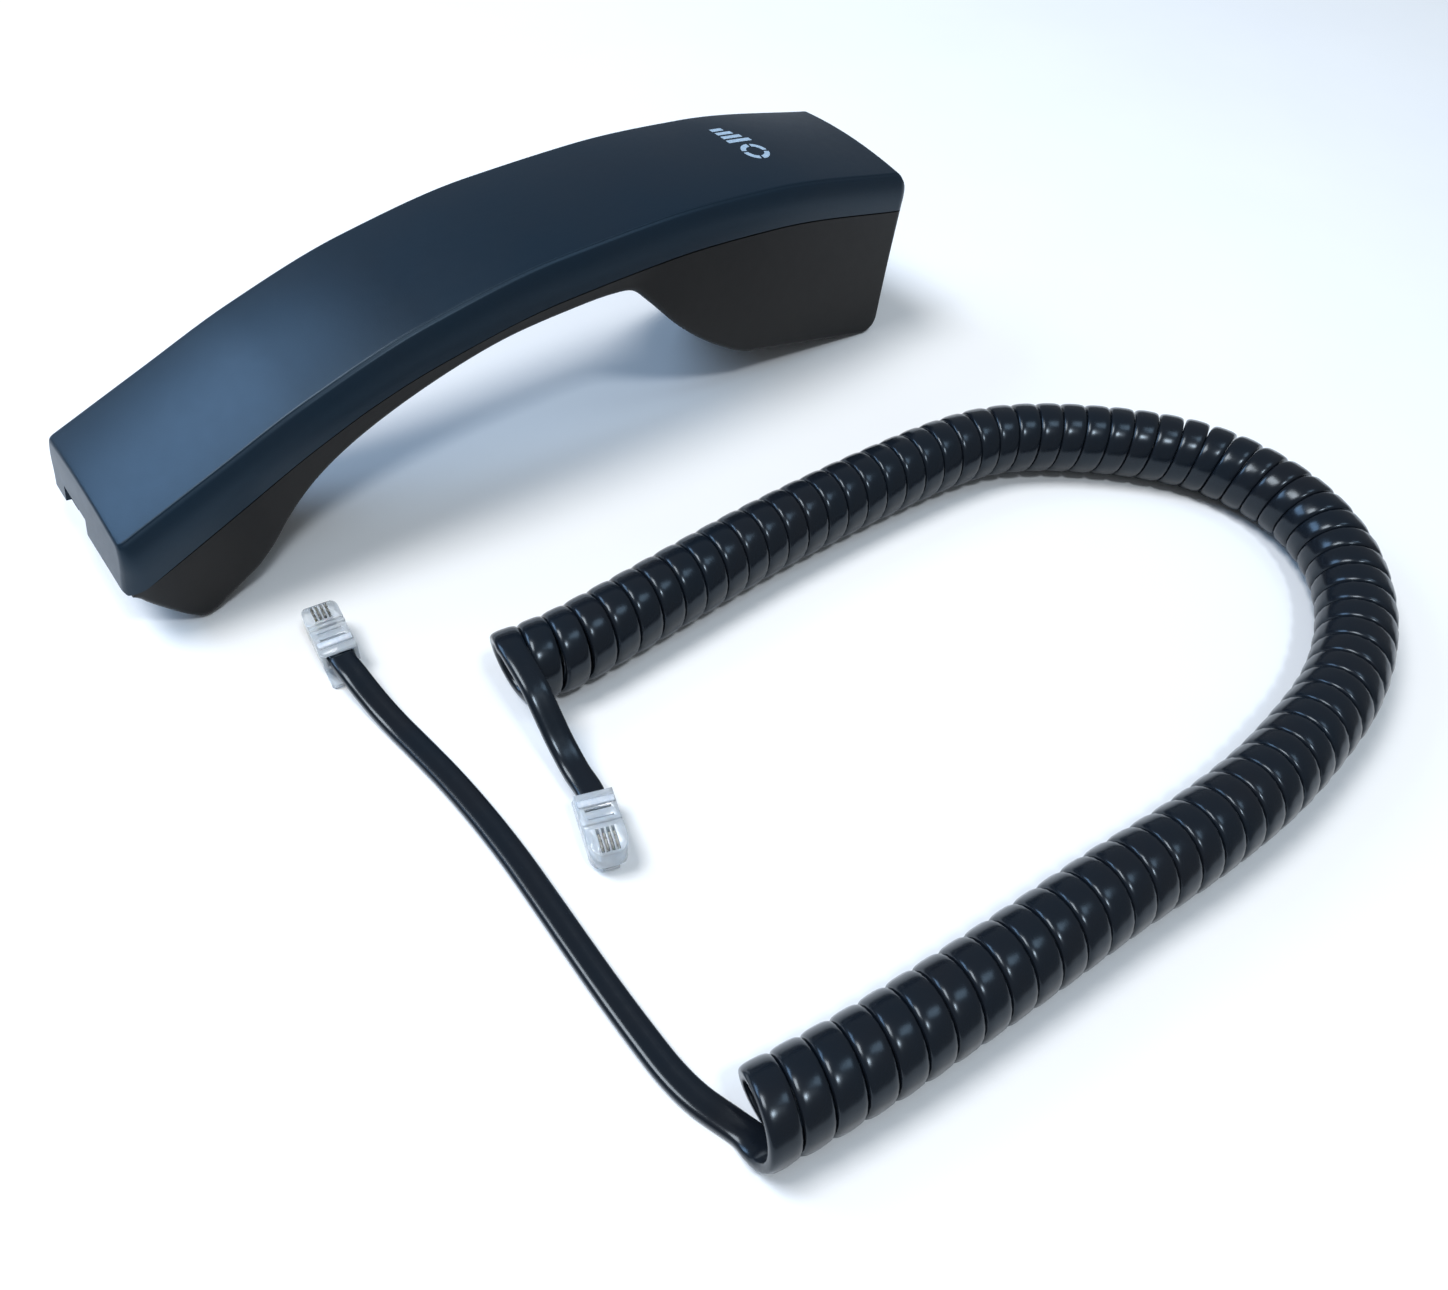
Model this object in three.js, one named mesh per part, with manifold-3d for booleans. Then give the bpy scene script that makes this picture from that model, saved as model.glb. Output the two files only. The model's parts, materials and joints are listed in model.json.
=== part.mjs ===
// A corded desk-telephone handset lying cups down, with its detached curly cord beside it.
// Millimetres. +X runs from the mouth end to the ear end, +Y across, +Z up.
// The origin is under the middle of the handset, on the surface that it lies on.
import * as THREE from 'three';
import { mergeVertices } from 'three/addons/utils/BufferGeometryUtils.js';
import Module from 'manifold-3d';

const wasm = await Module();
wasm.setup();

// ---- Driving dimensions -------------------------------------------------------------------
const WALL = 2.2;              // shell wall
const GAP = 0.3;               // clearance between separate pieces
const MOUTH_WIDTH = 45;        // the handset tapers a little towards the ear
const EAR_WIDTH = 43;
const END_X = 106;             // half of the handset's length
const MOUTH_TOP_X = -104.2;    // where the back ends above the mouth end's wall
const CROWN = 1.2;             // rise of the back between its two edges
const EDGE = { inset: 2.6, shoulder: 0.9, drop: 3 };  // the side leans in below the back's edge
const END_RIM = { inset: 3, drop: 6 };           // and so does the ear end's wall
const CORNER = 3;              // plan radius of the four corners
const CORNER_START = { mouth: 1.6, ear: -0.8 };  // where the corners begin, inside each end
const CORNER_SOFTNESS = 0.8;   // share of the corner's inset that follows the arc
const STATION_LEAN = { middle: 2.8, end: 1.2 };  // how far the back leans past the underside
const INNER_EDGE = { inset: 2, shoulder: 0.8, drop: 2.4 };
const END_EDGE = { inset: 1.2, shoulder: 0.3, drop: 2 };
const INNER_REACH = { mouth: 6.2, ear: 5 };      // how far inside the ends the hollow stops
const LOWER_CORNER = { least: 1.1, mouth: 2.8, ear: 1.2 };  // rounding along the underside's edges
const BAND = 9.5;              // height of the back shell's side
const BAND_GROWTH = 2.4;       // extra height that it gains at the mouth end

// Height of the back's edge along X.
const BACK_EDGE = [[-106, 25.9], [-82, 35.6], [-60, 44.3], [-32, 52.3], [0, 56.7], [28, 57.3],
  [60, 55.1], [106, 46.1]];

// The ear face is a flat facet that leans, and the mouth face a short one that faces the lips.
const EAR = { x: 76.2, z: 5.5, tilt: 14, reach: 21.8 };
const MOUTH = { x: -85.2, z: 3.8, tilt: -31.5, reach: 6.6 };

// Lower outline from the mouth end's chin to the ear end's foot.
const UNDERSIDE = [
  [-106.4, 15], [-103.8, 11.2], [-99.8, 6.2], [-95.8, 1.7], [-93.2, 0],
  ...facet(MOUTH),
  [-75, 11.6], [-70.7, 16.9], [-66.2, 21.5], [-60, 26.3], [-50, 31.6], [-34, 37.4],
  [-16, 41.7], [2, 43.1], [13, 43.1], [19, 42], [24, 37.2], [33.5, 26.6], [44, 17.6],
  ...facet(EAR),
  [99.6, 0], [101.8, 1.2], [102.6, 3.2],
];

const HOOK_SLOT = { x: 39, z: 22, width: 12, height: 3.2, depth: 12, tilt: -48 };
const JACK = {
  y: 6.5, front: -97.5, length: 11, width: 11, bottom: 10, height: 9.8,
  floor: 1.1, socketWidth: 7.9, socketHeight: 7.6, socketDepth: 9.4, notchWidth: 12.6, notchTop: 19,
};
const KEYWAY = { halfWidth: 1.9, floor: 0.4, length: 7 };
const CONTACT = { pitch: 1.02, count: 4, radius: 0.25 };
const CONTACT_ROUTE = [[0.8, -0.7], [3, -0.9], [6.2, -2.1], [8.2, -2]];  // behind the jack's front
const MIC_Y = -5.5;
const BALLAST = { x: 77, z: 38.5, length: 30, width: 24, height: 7, screwSpan: 18 };
const BOARD = { x: -66, z: 33.6, tilt: -22, length: 24, width: 22, thickness: 1.2 };
const CASE_SCREWS = [{ x: -40, floor: 35.8, reach: 46.6 }, { x: 15, floor: 43.1, reach: 52.6 }];
const SCREW = { head: 1.3, headRadius: 2.4, shank: 1.15, tip: 0.6, tipRadius: 0.6 };
const BALLAST_HEAD = { radius: 2.6, below: 1.6 };
const BOSS = { radius: 3.2, frontRadius: 4, boardRadius: 2.8, boardHeight: 8.2, intoBack: 0.3 };
const BORE = { pilot: 1.5, boardPilot: 1.4, boardDepth: 6.4, through: 1.6, head: 2.9 };

// Heights of the case screws' bosses, bores, heads and caps above the underside.
const SCREW_STACK = {
  frontBoss: [1, 6.4], headBore: [-2, 3.4], throughBore: [0, 8], backBoss: 6.7, pilotBore: 6,
  pilotRoof: 2.6, head: 1.8, cap: [0.3, 1.4], capRadius: 2.5,
};

// Sound holes, as rings of a triangular grid.
const EAR_HOLES = { rings: 2, pitch: 4.4, radius: 1.1 };
const MOUTH_HOLES = { rings: 1, pitch: 2, radius: 0.6 };

// Receiver pieces, as radii and heights above the receiver's rim.
const RECEIVER = {
  cloth: { radius: 12.6, height: 0.4 },
  gasket: { inner: 13, outer: 16.6, height: 2.1 },
  rim: 2.4,
  frame: [[0, 7.8], [16.6, 7.8], [16.6, 0], [14.6, 0], [14.6, 1], [15.4, 1], [15.4, 6.8], [0, 6.8]],
  cover: { inner: 3, outer: 14.2, height: 0.5 },
  diaphragm: [[0, 1.3], [3.6, 1.7], [5.2, 2.1], [14.4, 1.5], [14.4, 1.8], [5.3, 2.5], [5.3, 4.6],
    [4.7, 4.6], [4.7, 2.5], [3.5, 2.1], [0, 1.7]],
  polePlate: { radius: 3.8, from: 3, to: 3.7 },
  magnet: { radius: 3.4, from: 4, to: 5.4 },
  yoke: [[0, 5.7], [6.2, 5.7], [6.2, 3], [7.6, 3], [7.6, 6.5], [0, 6.5]],
  retainer: { inner: 13.6, outer: 17.4, from: 8.1, to: 9.5 },
  terminals: { low: [-7, -5, 8.1], high: [-1, 5, 8.9] },
};

// Microphone pieces, as radii and heights above the inside of the mouth face.
const MIC = {
  cloth: { radius: 3.4, height: 0.4 },
  boot: [[1.8, 0.7], [4.4, 0.7], [4.4, 4.6], [3.5, 4.6], [3.5, 1.5], [1.8, 1.5], [1.8, 0.7]],
  capsule: { radius: 3.2, from: 1.8, to: 4.4 },
};
const CAPACITOR = { x: 7, y: 5, radius: 2.2, from: 0.9, to: 4.4 };

const WIRE_RADIUS = 0.6;
const RECEIVER_WIRE = [[-54.4, 7.6, 39.4], [-48, 8, 41.2], [-36, 8, 44.4], [-20, 8, 48], [2, 8, 50.4],
  [22, 8, 50], [34, 8, 44], [46, 7.6, 36], [56, 6.6, 29.6], [66, 5, 25.6], [72.4, 3.4, 23.4]];
const MIC_WIRE = { side: 1.4, route: [[-77.6, 28], [-79.4, 24], [-82, 18], [-86, 12.4], [-88.6, 10.7]] };
const JACK_WIRE = { pitch: 2, route: [[-86.1, 14.6], [-83.4, 15.6], [-80.6, 20], [-79, 25.4], [-77.8, 28.2]] };

// The cord is a flat ribbon, wound into a coil and straight at its two ends.
const CORD = { width: 5.5, thickness: 2.6, coilRadius: 8.6 };
const COIL_ROUTE = [
  [-69.8, -177.6], [-60, -179.2], [-45, -181.2], [-28, -182.6], [-8, -183.8], [14, -184.8],
  [36, -186.4], [58, -186.4], [76, -184.4], [92, -181.2], [106, -175.6], [118, -167.6],
  [127.5, -157], [133, -144], [133.4, -130.4], [128.6, -115.4], [119.6, -103.6], [108.6, -93.6],
  [98, -86], [86, -80.2], [72, -77.4], [54, -76.1], [36, -75.5], [16, -75.5], [-4, -76.4],
  [-24, -77.5], [-39, -77.9], [-52.6, -76.4],
];
const TAIL_A_ROUTE = [
  [-75.9, -52.5, 5.35], [-75.7, -57.2, 4.95], [-75.3, -61, 3.8], [-74.7, -65.5, 2.5], [-73.9, -71, 1.55],
  [-72.9, -78, 1.35], [-71.7, -88, 1.35], [-70.9, -99, 1.35], [-70.6, -111, 1.35],
  [-70.8, -122, 1.35], [-71.1, -133, 1.35], [-71.3, -143, 1.35], [-71.3, -153, 1.35],
  [-71, -162, 1.35], [-70, -168.2, 1.35],
];
const TAIL_B_ROUTE = [
  [-50.6, -87, 14.5], [-50.9, -90, 13], [-51.1, -93.2, 10.7], [-51.3, -96.6, 8.3],
  [-51.5, -100.4, 6.4], [-51.8, -104, 5.5], [-52.2, -109.2, 5.35],
];
const PLUG = {
  length: 14.8, width: 7.65, bottom: 2.3, top: 8.3, step: 0.8, stepFrom: 5.8,
  cordWay: { low: [-1, -3.1, 3.7], high: [8.4, 3.1, 7] },
  contactWell: { low: [9.7, -2.2, 5], high: [13.9, 2.2, 10] },
  blade: [[10.1, 5.4], [13.5, 5.4], [13.5, 7.7], [13.1, 8.1], [10.1, 8.1]],
  bladeThickness: 0.4,
};
const LATCH = {
  noseX: 14.2, noseHalf: 1.65, noseHeights: [1.2, 2], bend: 0.8, bendX: 12.6,
  neckX: 6, thumbX: 3.6, thumbHalf: 3.6, end: -3.2, rest: 0.05, thickness: 0.9,
};
const PLUGS = [
  { name: 'plug_a', x: -75.9, y: -51.6, heading: 83 },
  { name: 'plug_b', x: -52.4, y: -110.2, heading: -109 },
];

// ---- Materials ----------------------------------------------------------------------------
const finish = (color, roughness, metalness = 0) => ({ color, roughness, metalness });
const FINISH = {
  backPlastic: finish(0x1d2a3d, 0.42),
  frontPlastic: finish(0x1a191b, 0.5),
  blackPlastic: finish(0x111214, 0.4),
  vinyl: finish(0x0b0d10, 0.3),
  clear: finish(0xdfe8f2, 0.08),
  gold: finish(0xd8b25a, 0.25, 1),
  steel: finish(0xa9adb2, 0.35, 1),
  darkSteel: finish(0x4a4d52, 0.5, 1),
  magnet: finish(0x6d7075, 0.3, 1),
  film: finish(0xcfc6a8, 0.3),
  rubber: finish(0x17181a, 0.8),
  foam: finish(0x222325, 0.95),
  cloth: finish(0x2a2b2e, 0.95),
  board: finish(0x1c5a34, 0.5),
  wireRed: finish(0x9a1b1b, 0.4),
  wireBlack: finish(0x121212, 0.4),
  wireGreen: finish(0x1d6b33, 0.4),
  wireYellow: finish(0xc9a51f, 0.4),
};

// ---- Small helpers ------------------------------------------------------------------------
const part = new THREE.Group();

function add(name, geometry, look, group = part) {
  const mesh = new THREE.Mesh(geometry, new THREE.MeshStandardMaterial(look));
  mesh.name = name;
  group.add(mesh);
  return mesh;
}

// The two ends of a leaning flat facet, in the XZ plane.
function facet({ x, z, tilt, reach }) {
  const lean = THREE.MathUtils.degToRad(tilt);
  const dx = reach * Math.cos(lean);
  const dz = reach * Math.sin(lean);
  return [[x - dx, z + dz], [x + dx, z - dz]];
}

// A group on a facet: its +Z points into the handset, square to the facet.
function facetGroup({ x, z, tilt }, y) {
  const group = new THREE.Group();
  group.position.set(x, y, z);
  group.rotation.y = THREE.MathUtils.degToRad(tilt);
  group.updateMatrix();
  part.add(group);
  return group;
}

function solid(geometry) {
  const bare = geometry.clone();
  bare.deleteAttribute('normal');
  bare.deleteAttribute('uv');
  const merged = mergeVertices(bare, 1e-4);
  return new wasm.Manifold(new wasm.Mesh({
    numProp: 3,
    vertProperties: new Float32Array(merged.attributes.position.array),
    triVerts: new Uint32Array(merged.index.array),
  }));
}

function geometryOf(body) {
  const mesh = body.getMesh();
  const geometry = new THREE.BufferGeometry();
  geometry.setAttribute('position', new THREE.BufferAttribute(mesh.vertProperties, 3));
  geometry.setIndex(new THREE.BufferAttribute(mesh.triVerts, 1));
  return geometry;
}

const cut = (body, tools) => tools.reduce((left, tool) => left.subtract(tool), body);
const join = (body, extras) => extras.reduce((whole, extra) => whole.add(extra), body);

// A box given by its lowest and highest corners.
function block([x0, y0, z0], [x1, y1, z1]) {
  const box = new THREE.BoxGeometry(x1 - x0, y1 - y0, z1 - z0);
  return box.translate((x0 + x1) / 2, (y0 + y1) / 2, (z0 + z1) / 2);
}

// A turned piece about +Z from a profile of [radius, height] points, in either direction.
function turned(profile, segments = 16) {
  const points = profile.map(([r, z]) => new THREE.Vector2(r, z));
  if (THREE.ShapeUtils.area(points) < 0) points.reverse();
  return new THREE.LatheGeometry(points, segments).rotateX(Math.PI / 2);
}

// An upright cylinder between two heights.
function post(x, y, radius, z0, z1, segments = 12) {
  return turned([[0, z0], [radius, z0], [radius, z1], [0, z1]], segments).translate(x, y, 0);
}

function ring(inner, outer, z0, z1, segments = 24) {
  return turned([[inner, z0], [outer, z0], [outer, z1], [inner, z1], [inner, z0]], segments);
}

// An outline in the XZ plane, given width along Y, centred on y = 0.
function slab(outline, width) {
  const shape = new THREE.Shape(outline.map(([x, z]) => new THREE.Vector2(x, z)));
  const body = new THREE.ExtrudeGeometry(shape, { depth: width, bevelEnabled: false });
  return body.rotateX(Math.PI / 2).translate(0, width / 2, 0);
}

const through = (points) => {
  const corners = points.map((p) => new THREE.Vector3(...p));
  return new THREE.CatmullRomCurve3(corners, false, 'centripetal');
};

// A rounded-flat or round section carried along a curve.
function tube(points, halfThickness, halfWidth, sides, steps) {
  const shape = new THREE.Shape();
  for (let i = 0; i < sides; i += 1) {
    const angle = (2 * Math.PI * (i + 0.5)) / sides;
    const squash = (value) => Math.sign(value) * Math.min(1, Math.abs(value) * 1.12);
    const u = halfThickness * squash(Math.cos(angle));
    const v = halfWidth * squash(Math.sin(angle));
    if (i === 0) shape.moveTo(u, v);
    else shape.lineTo(u, v);
  }
  shape.closePath();
  return new THREE.ExtrudeGeometry(shape, { steps, extrudePath: through(points), bevelEnabled: false });
}

// Height along X through hand-set points, without overshoot between them.
function heightCurve(points) {
  const rise = points.slice(1).map((p, i) => (p[1] - points[i][1]) / (p[0] - points[i][0]));
  const slopes = points.map((_, i) => {
    if (i === 0) return rise[0];
    if (i === points.length - 1) return rise[i - 1];
    const [a, b] = [rise[i - 1], rise[i]];
    return a * b <= 0 ? 0 : (2 * a * b) / (a + b);
  });
  return (x) => {
    let i = points.findIndex((p) => p[0] >= x) - 1;
    if (i < 0) i = x <= points[0][0] ? 0 : points.length - 2;
    const [x0, z0] = points[i];
    const [x1, z1] = points[i + 1];
    const t = (x - x0) / (x1 - x0);
    const span = x1 - x0;
    const a = slopes[i] * span - (z1 - z0);
    const b = -slopes[i + 1] * span + (z1 - z0);
    return (1 - t) * z0 + t * z1 + t * (1 - t) * (a * (1 - t) + b * t);
  };
}

// ---- Handset case -------------------------------------------------------------------------
const backEdge = heightCurve(BACK_EDGE);
const seamHeight = (x) => backEdge(x) - BAND - BAND_GROWTH * THREE.MathUtils.clamp((-50 - x) / 55, 0, 1);

// Each station joins a point of the underside to the back's edge above it. The stations lean
// more towards the ear end, where the end wall leans too.
function caseStations() {
  const stations = UNDERSIDE.map(([x, z]) => {
    const topX = x + STATION_LEAN.middle + (STATION_LEAN.end * x) / 102;
    return { bottom: [x, z], top: [topX, backEdge(topX)] };
  });
  stations[0].top[0] = MOUTH_TOP_X;
  const [rim, last] = stations.slice(-2);
  rim.top = [END_X - END_RIM.inset, backEdge(END_X - END_RIM.inset)];
  last.top = [END_X, backEdge(END_X) - END_RIM.drop];
  return stations;
}

// Half width of the case where its top edge is at x, with the plan corners rounded.
function halfWidth(x) {
  const taper = (x + END_X) / (2 * END_X);
  const half = THREE.MathUtils.lerp(MOUTH_WIDTH, EAR_WIDTH, taper) / 2;
  const fromEnd = Math.min(x + END_X - CORNER_START.mouth, END_X - CORNER_START.ear - x);
  if (fromEnd >= CORNER) return half;
  const short = CORNER - Math.max(fromEnd, 0);
  return half - (CORNER - Math.sqrt(Math.max(CORNER ** 2 - short ** 2, 0))) * CORNER_SOFTNESS;
}

// A station's outline: underside, rounded lower corners, side, chamfered edge, crowned back.
function sectionRing(station, half, corner, crown, edge) {
  const [bx, bz] = station.bottom;
  const [tx, tz] = station.top;
  const height = Math.hypot(tx - bx, tz - bz);
  const at = (y, up) => {
    const t = up / height;
    return new THREE.Vector3(bx + (tx - bx) * t, y, bz + (tz - bz) * t);
  };
  const side = [];
  const draft = corner * 0.3;
  const steps = 3;
  for (let i = 0; i <= steps; i += 1) {
    const angle = (Math.PI / 2) * (i / steps);
    const y = half - draft - corner + corner * Math.sin(angle);
    side.push([y, corner - corner * Math.cos(angle)]);
  }
  side.push([half, Math.max(height - BAND, corner + 0.4)]);
  side.push([half - edge.shoulder, height - edge.drop]);
  side.push([half - edge.inset, height]);
  side.push([half / 2, height + crown * 0.75]);
  const right = side.map(([y, up]) => at(y, up));
  const left = side.map(([y, up]) => at(-y, up)).reverse();
  return [at(0, 0), ...right, at(0, height + crown), ...left];
}

// A closed body through a row of rings, capped at both ends.
function loft(rings) {
  const count = rings[0].length;
  const positions = rings.flat();
  const middle = (points) => points.reduce((sum, p) => sum.add(p), new THREE.Vector3())
    .divideScalar(points.length);
  positions.push(middle(rings[0]), middle(rings.at(-1)));
  const index = [];
  for (let r = 0; r < rings.length - 1; r += 1) {
    for (let i = 0; i < count; i += 1) {
      const next = (i + 1) % count;
      const [a, b] = [r * count + i, r * count + next];
      index.push(a, b, b + count, a, b + count, a + count);
    }
  }
  const lastRing = (rings.length - 1) * count;
  for (let i = 0; i < count; i += 1) {
    const next = (i + 1) % count;
    index.push(rings.length * count, next, i);
    index.push(rings.length * count + 1, lastRing + i, lastRing + next);
  }
  const geometry = new THREE.BufferGeometry();
  const flat = positions.flatMap((p) => [p.x, p.y, p.z]);
  geometry.setAttribute('position', new THREE.BufferAttribute(new Float32Array(flat), 3));
  geometry.setIndex(index);
  return geometry;
}

function lowerCorner(station) {
  const height = station.top[1] - station.bottom[1];
  const towardsEar = (station.bottom[0] + END_X) / (2 * END_X);
  const most = THREE.MathUtils.lerp(LOWER_CORNER.mouth, LOWER_CORNER.ear, towardsEar);
  return THREE.MathUtils.clamp((height - BAND - 1) * 0.9, LOWER_CORNER.least, most);
}

// The station moved inwards by the wall, square to the underside and to the back.
function insetStation(stations, i) {
  const before = stations[i - 1];
  const after = stations[i + 1];
  const inward = (key, turn) => {
    const dx = after[key][0] - before[key][0];
    const dz = after[key][1] - before[key][1];
    const length = Math.hypot(dx, dz);
    const [x, z] = stations[i][key];
    return [x - (turn * WALL * dz) / length, z + (turn * WALL * dx) / length];
  };
  return { bottom: inward('bottom', 1), top: inward('top', -1) };
}

function caseSolid() {
  const stations = caseStations();
  const outer = stations.map((s, i) => {
    const half = halfWidth(s.top[0]);
    const edge = i === stations.length - 1 ? END_EDGE : EDGE;
    return sectionRing(s, half, lowerCorner(s), CROWN, edge);
  });
  const inner = [];
  for (let i = 1; i < stations.length - 2; i += 1) {
    const inset = insetStation(stations, i);
    const [least, most] = [INNER_REACH.mouth - END_X, END_X - INNER_REACH.ear];
    const half = halfWidth(THREE.MathUtils.clamp(inset.top[0], least, most)) - WALL;
    const corner = Math.max(lowerCorner(stations[i]) - WALL, 0.8);
    inner.push(sectionRing(inset, half, corner, CROWN, INNER_EDGE));
  }
  return solid(loft(outer)).subtract(solid(loft(inner)));
}

// Everything above the seam, wide enough to cut the case in two.
function aboveSeam(offset) {
  const line = [];
  for (let x = -112; x <= 112; x += 8) line.push([x, seamHeight(x) + offset]);
  return solid(slab([...line, [112, 80], [-112, 80]], 80));
}

const local = (geometry, group) => solid(geometry.clone().applyMatrix4(group.matrix));

const earGroup = facetGroup(EAR, 0);
const mouthGroup = facetGroup(MOUTH, MIC_Y);
const boardGroup = facetGroup(BOARD, 0);

const ballastScrews = [-1, 1].map((side) => BALLAST.x + (side * BALLAST.screwSpan) / 2);
const upright = (x, radius, z0, z1) => solid(post(x, 0, radius, z0, z1, 10));

function backShell(shell) {
  const bosses = [];
  const holes = [];
  for (const x of ballastScrews) {
    const under = BALLAST.z + BALLAST.height / 2 + GAP;
    bosses.push(upright(x, BOSS.radius, under, backEdge(x) + BOSS.intoBack));
    holes.push(upright(x, BORE.pilot, under - 1, backEdge(x) - 3));
  }
  for (const { x, floor } of CASE_SCREWS) {
    const roof = backEdge(x);
    bosses.push(upright(x, BOSS.radius, floor + SCREW_STACK.backBoss, roof + BOSS.intoBack));
    holes.push(upright(x, BORE.pilot, floor + SCREW_STACK.pilotBore, roof - SCREW_STACK.pilotRoof));
  }
  const foot = BOARD.thickness / 2 + GAP;
  bosses.push(local(post(0, 0, BOSS.boardRadius, foot, BOSS.boardHeight, 10), boardGroup));
  holes.push(local(post(0, 0, BORE.boardPilot, 0, BORE.boardDepth, 10), boardGroup));
  holes.push(jackNotch(seamHeight(-END_X) - 4));
  return cut(join(shell.intersect(aboveSeam(GAP / 2)), bosses), holes);
}

function soundHoles({ rings, pitch, radius }) {
  const holes = [];
  for (let i = -rings; i <= rings; i += 1) {
    for (let j = -rings; j <= rings; j += 1) {
      if (Math.abs(i + j) > rings) continue;
      const x = pitch * (i + j / 2);
      const y = pitch * j * Math.sin(Math.PI / 3);
      holes.push(post(x, y, radius, -1, WALL + 1, 6));
    }
  }
  return holes;
}

// The recess in the mouth end that the cord's plug goes through, from a height upwards.
function jackNotch(from) {
  const half = JACK.notchWidth / 2;
  const inner = [JACK.front + GAP, JACK.y + half, JACK.notchTop];
  return solid(block([-END_X - 9, JACK.y - half, from], inner));
}

function frontShell(shell) {
  const bosses = [];
  const tools = [];
  for (const { x, floor } of CASE_SCREWS) {
    const span = (radius, [low, high]) => upright(x, radius, floor + low, floor + high);
    bosses.push(span(BOSS.frontRadius, SCREW_STACK.frontBoss));
    tools.push(span(BORE.head, SCREW_STACK.headBore));
    tools.push(span(BORE.through, SCREW_STACK.throughBore));
  }
  for (const hole of soundHoles(EAR_HOLES)) tools.push(local(hole, earGroup));
  for (const hole of soundHoles(MOUTH_HOLES).filter((_, i) => i % 3 === 0)) {
    tools.push(local(hole, mouthGroup));
  }
  tools.push(jackNotch(JACK.bottom + JACK.floor - GAP));
  tools.push(solid(hookSlot()));
  return cut(join(shell.subtract(aboveSeam(-GAP / 2)), bosses), tools);
}

function hookSlot() {
  const { x, z, width, height, depth, tilt } = HOOK_SLOT;
  const slot = new THREE.BoxGeometry(depth, width, height);
  return slot.rotateY(THREE.MathUtils.degToRad(tilt)).translate(x, 0, z);
}

const shellSolid = caseSolid();
add('back_shell', geometryOf(backShell(shellSolid)), FINISH.backPlastic);
add('front_shell', geometryOf(frontShell(shellSolid)), FINISH.frontPlastic);

// ---- Case screws and their caps -----------------------------------------------------------
function screw(x, headFrom, tip, headRadius = SCREW.headRadius) {
  const shoulder = headFrom + SCREW.head;
  const profile = [[0, headFrom], [headRadius, headFrom], [headRadius, shoulder], [SCREW.shank, shoulder],
    [SCREW.shank, tip - SCREW.tip], [SCREW.tipRadius, tip], [0, tip]];
  return turned(profile, 10).translate(x, 0, 0);
}

CASE_SCREWS.forEach(({ x, floor, reach }, i) => {
  const [low, high] = SCREW_STACK.cap;
  const cap = post(x, 0, SCREW_STACK.capRadius, floor + low, floor + high, 10);
  add(`case_screw_${i + 1}`, screw(x, floor + SCREW_STACK.head, reach), FINISH.steel);
  add(`case_screw_cap_${i + 1}`, cap, FINISH.rubber);
});

// ---- Receiver, stacked on the ear face from the cloth inwards ------------------------------
const raised = (profile, height) => profile.map(([r, z]) => [r, z + height]);

function receiver() {
  const face = WALL + GAP;
  const rim = face + RECEIVER.rim;
  const { cloth, gasket, frame, cover, diaphragm, polePlate, magnet, yoke } = RECEIVER;
  const { retainer, terminals } = RECEIVER;
  const lift = ([x, y, z]) => [x, y, z + rim];
  const piece = (name, geometry, look) => add(name, geometry, look, earGroup);
  const disc = ({ radius, from, to }) => post(0, 0, radius, rim + from, rim + to, 20);
  piece('ear_cloth', post(0, 0, cloth.radius, face, face + cloth.height, 24), FINISH.cloth);
  piece('ear_gasket', ring(gasket.inner, gasket.outer, face, face + gasket.height), FINISH.foam);
  piece('receiver_frame', turned(raised(frame, rim), 24), FINISH.blackPlastic);
  piece('receiver_cover', ring(cover.inner, cover.outer, rim, rim + cover.height), FINISH.steel);
  piece('receiver_diaphragm', turned(raised(diaphragm, rim), 24), FINISH.film);
  piece('receiver_pole_plate', disc(polePlate), FINISH.steel);
  piece('receiver_magnet', disc(magnet), FINISH.magnet);
  piece('receiver_yoke', turned(raised(yoke, rim), 20), FINISH.darkSteel);
  const clamp = ring(retainer.inner, retainer.outer, rim + retainer.from, rim + retainer.to);
  piece('receiver_retainer', clamp, FINISH.blackPlastic);
  piece('receiver_terminal_board', block(lift(terminals.low), lift(terminals.high)), FINISH.board);
}
receiver();

// ---- Microphone in its rubber boot on the mouth face ----------------------------------------
function microphone() {
  const face = WALL + GAP;
  const { cloth, boot, capsule } = MIC;
  const can = post(0, 0, capsule.radius, face + capsule.from, face + capsule.to, 18);
  add('mic_cloth', post(0, 0, cloth.radius, face, face + cloth.height, 16), FINISH.cloth, mouthGroup);
  add('mic_boot', turned(raised(boot, face), 18), FINISH.rubber, mouthGroup);
  add('mic_capsule', can, FINISH.steel, mouthGroup);
}
microphone();

// ---- Cord jack -----------------------------------------------------------------------------
function jack() {
  const { y, front, length, width, bottom, height, socketWidth, socketHeight, socketDepth } = JACK;
  const body = block([front, y - width / 2, bottom], [front + length, y + width / 2, bottom + height]);
  const floor = bottom + JACK.floor;
  const socket = block([front - 1, y - socketWidth / 2, floor],
    [front + socketDepth, y + socketWidth / 2, floor + socketHeight]);
  const keyway = block([front - 1, y - KEYWAY.halfWidth, bottom + KEYWAY.floor],
    [front + KEYWAY.length, y + KEYWAY.halfWidth, floor + 1]);
  const housing = cut(solid(body), [solid(socket), solid(keyway)]);
  add('jack_housing', geometryOf(housing), FINISH.blackPlastic);
  for (let i = 0; i < CONTACT.count; i += 1) {
    const across = y + (i - (CONTACT.count - 1) / 2) * CONTACT.pitch;
    const route = CONTACT_ROUTE.map(([back, up]) => [front + back, across, floor + socketHeight + up]);
    add(`jack_contact_${i + 1}`, tube(route, CONTACT.radius, CONTACT.radius, 6, 6), FINISH.gold);
  }
}
jack();

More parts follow.
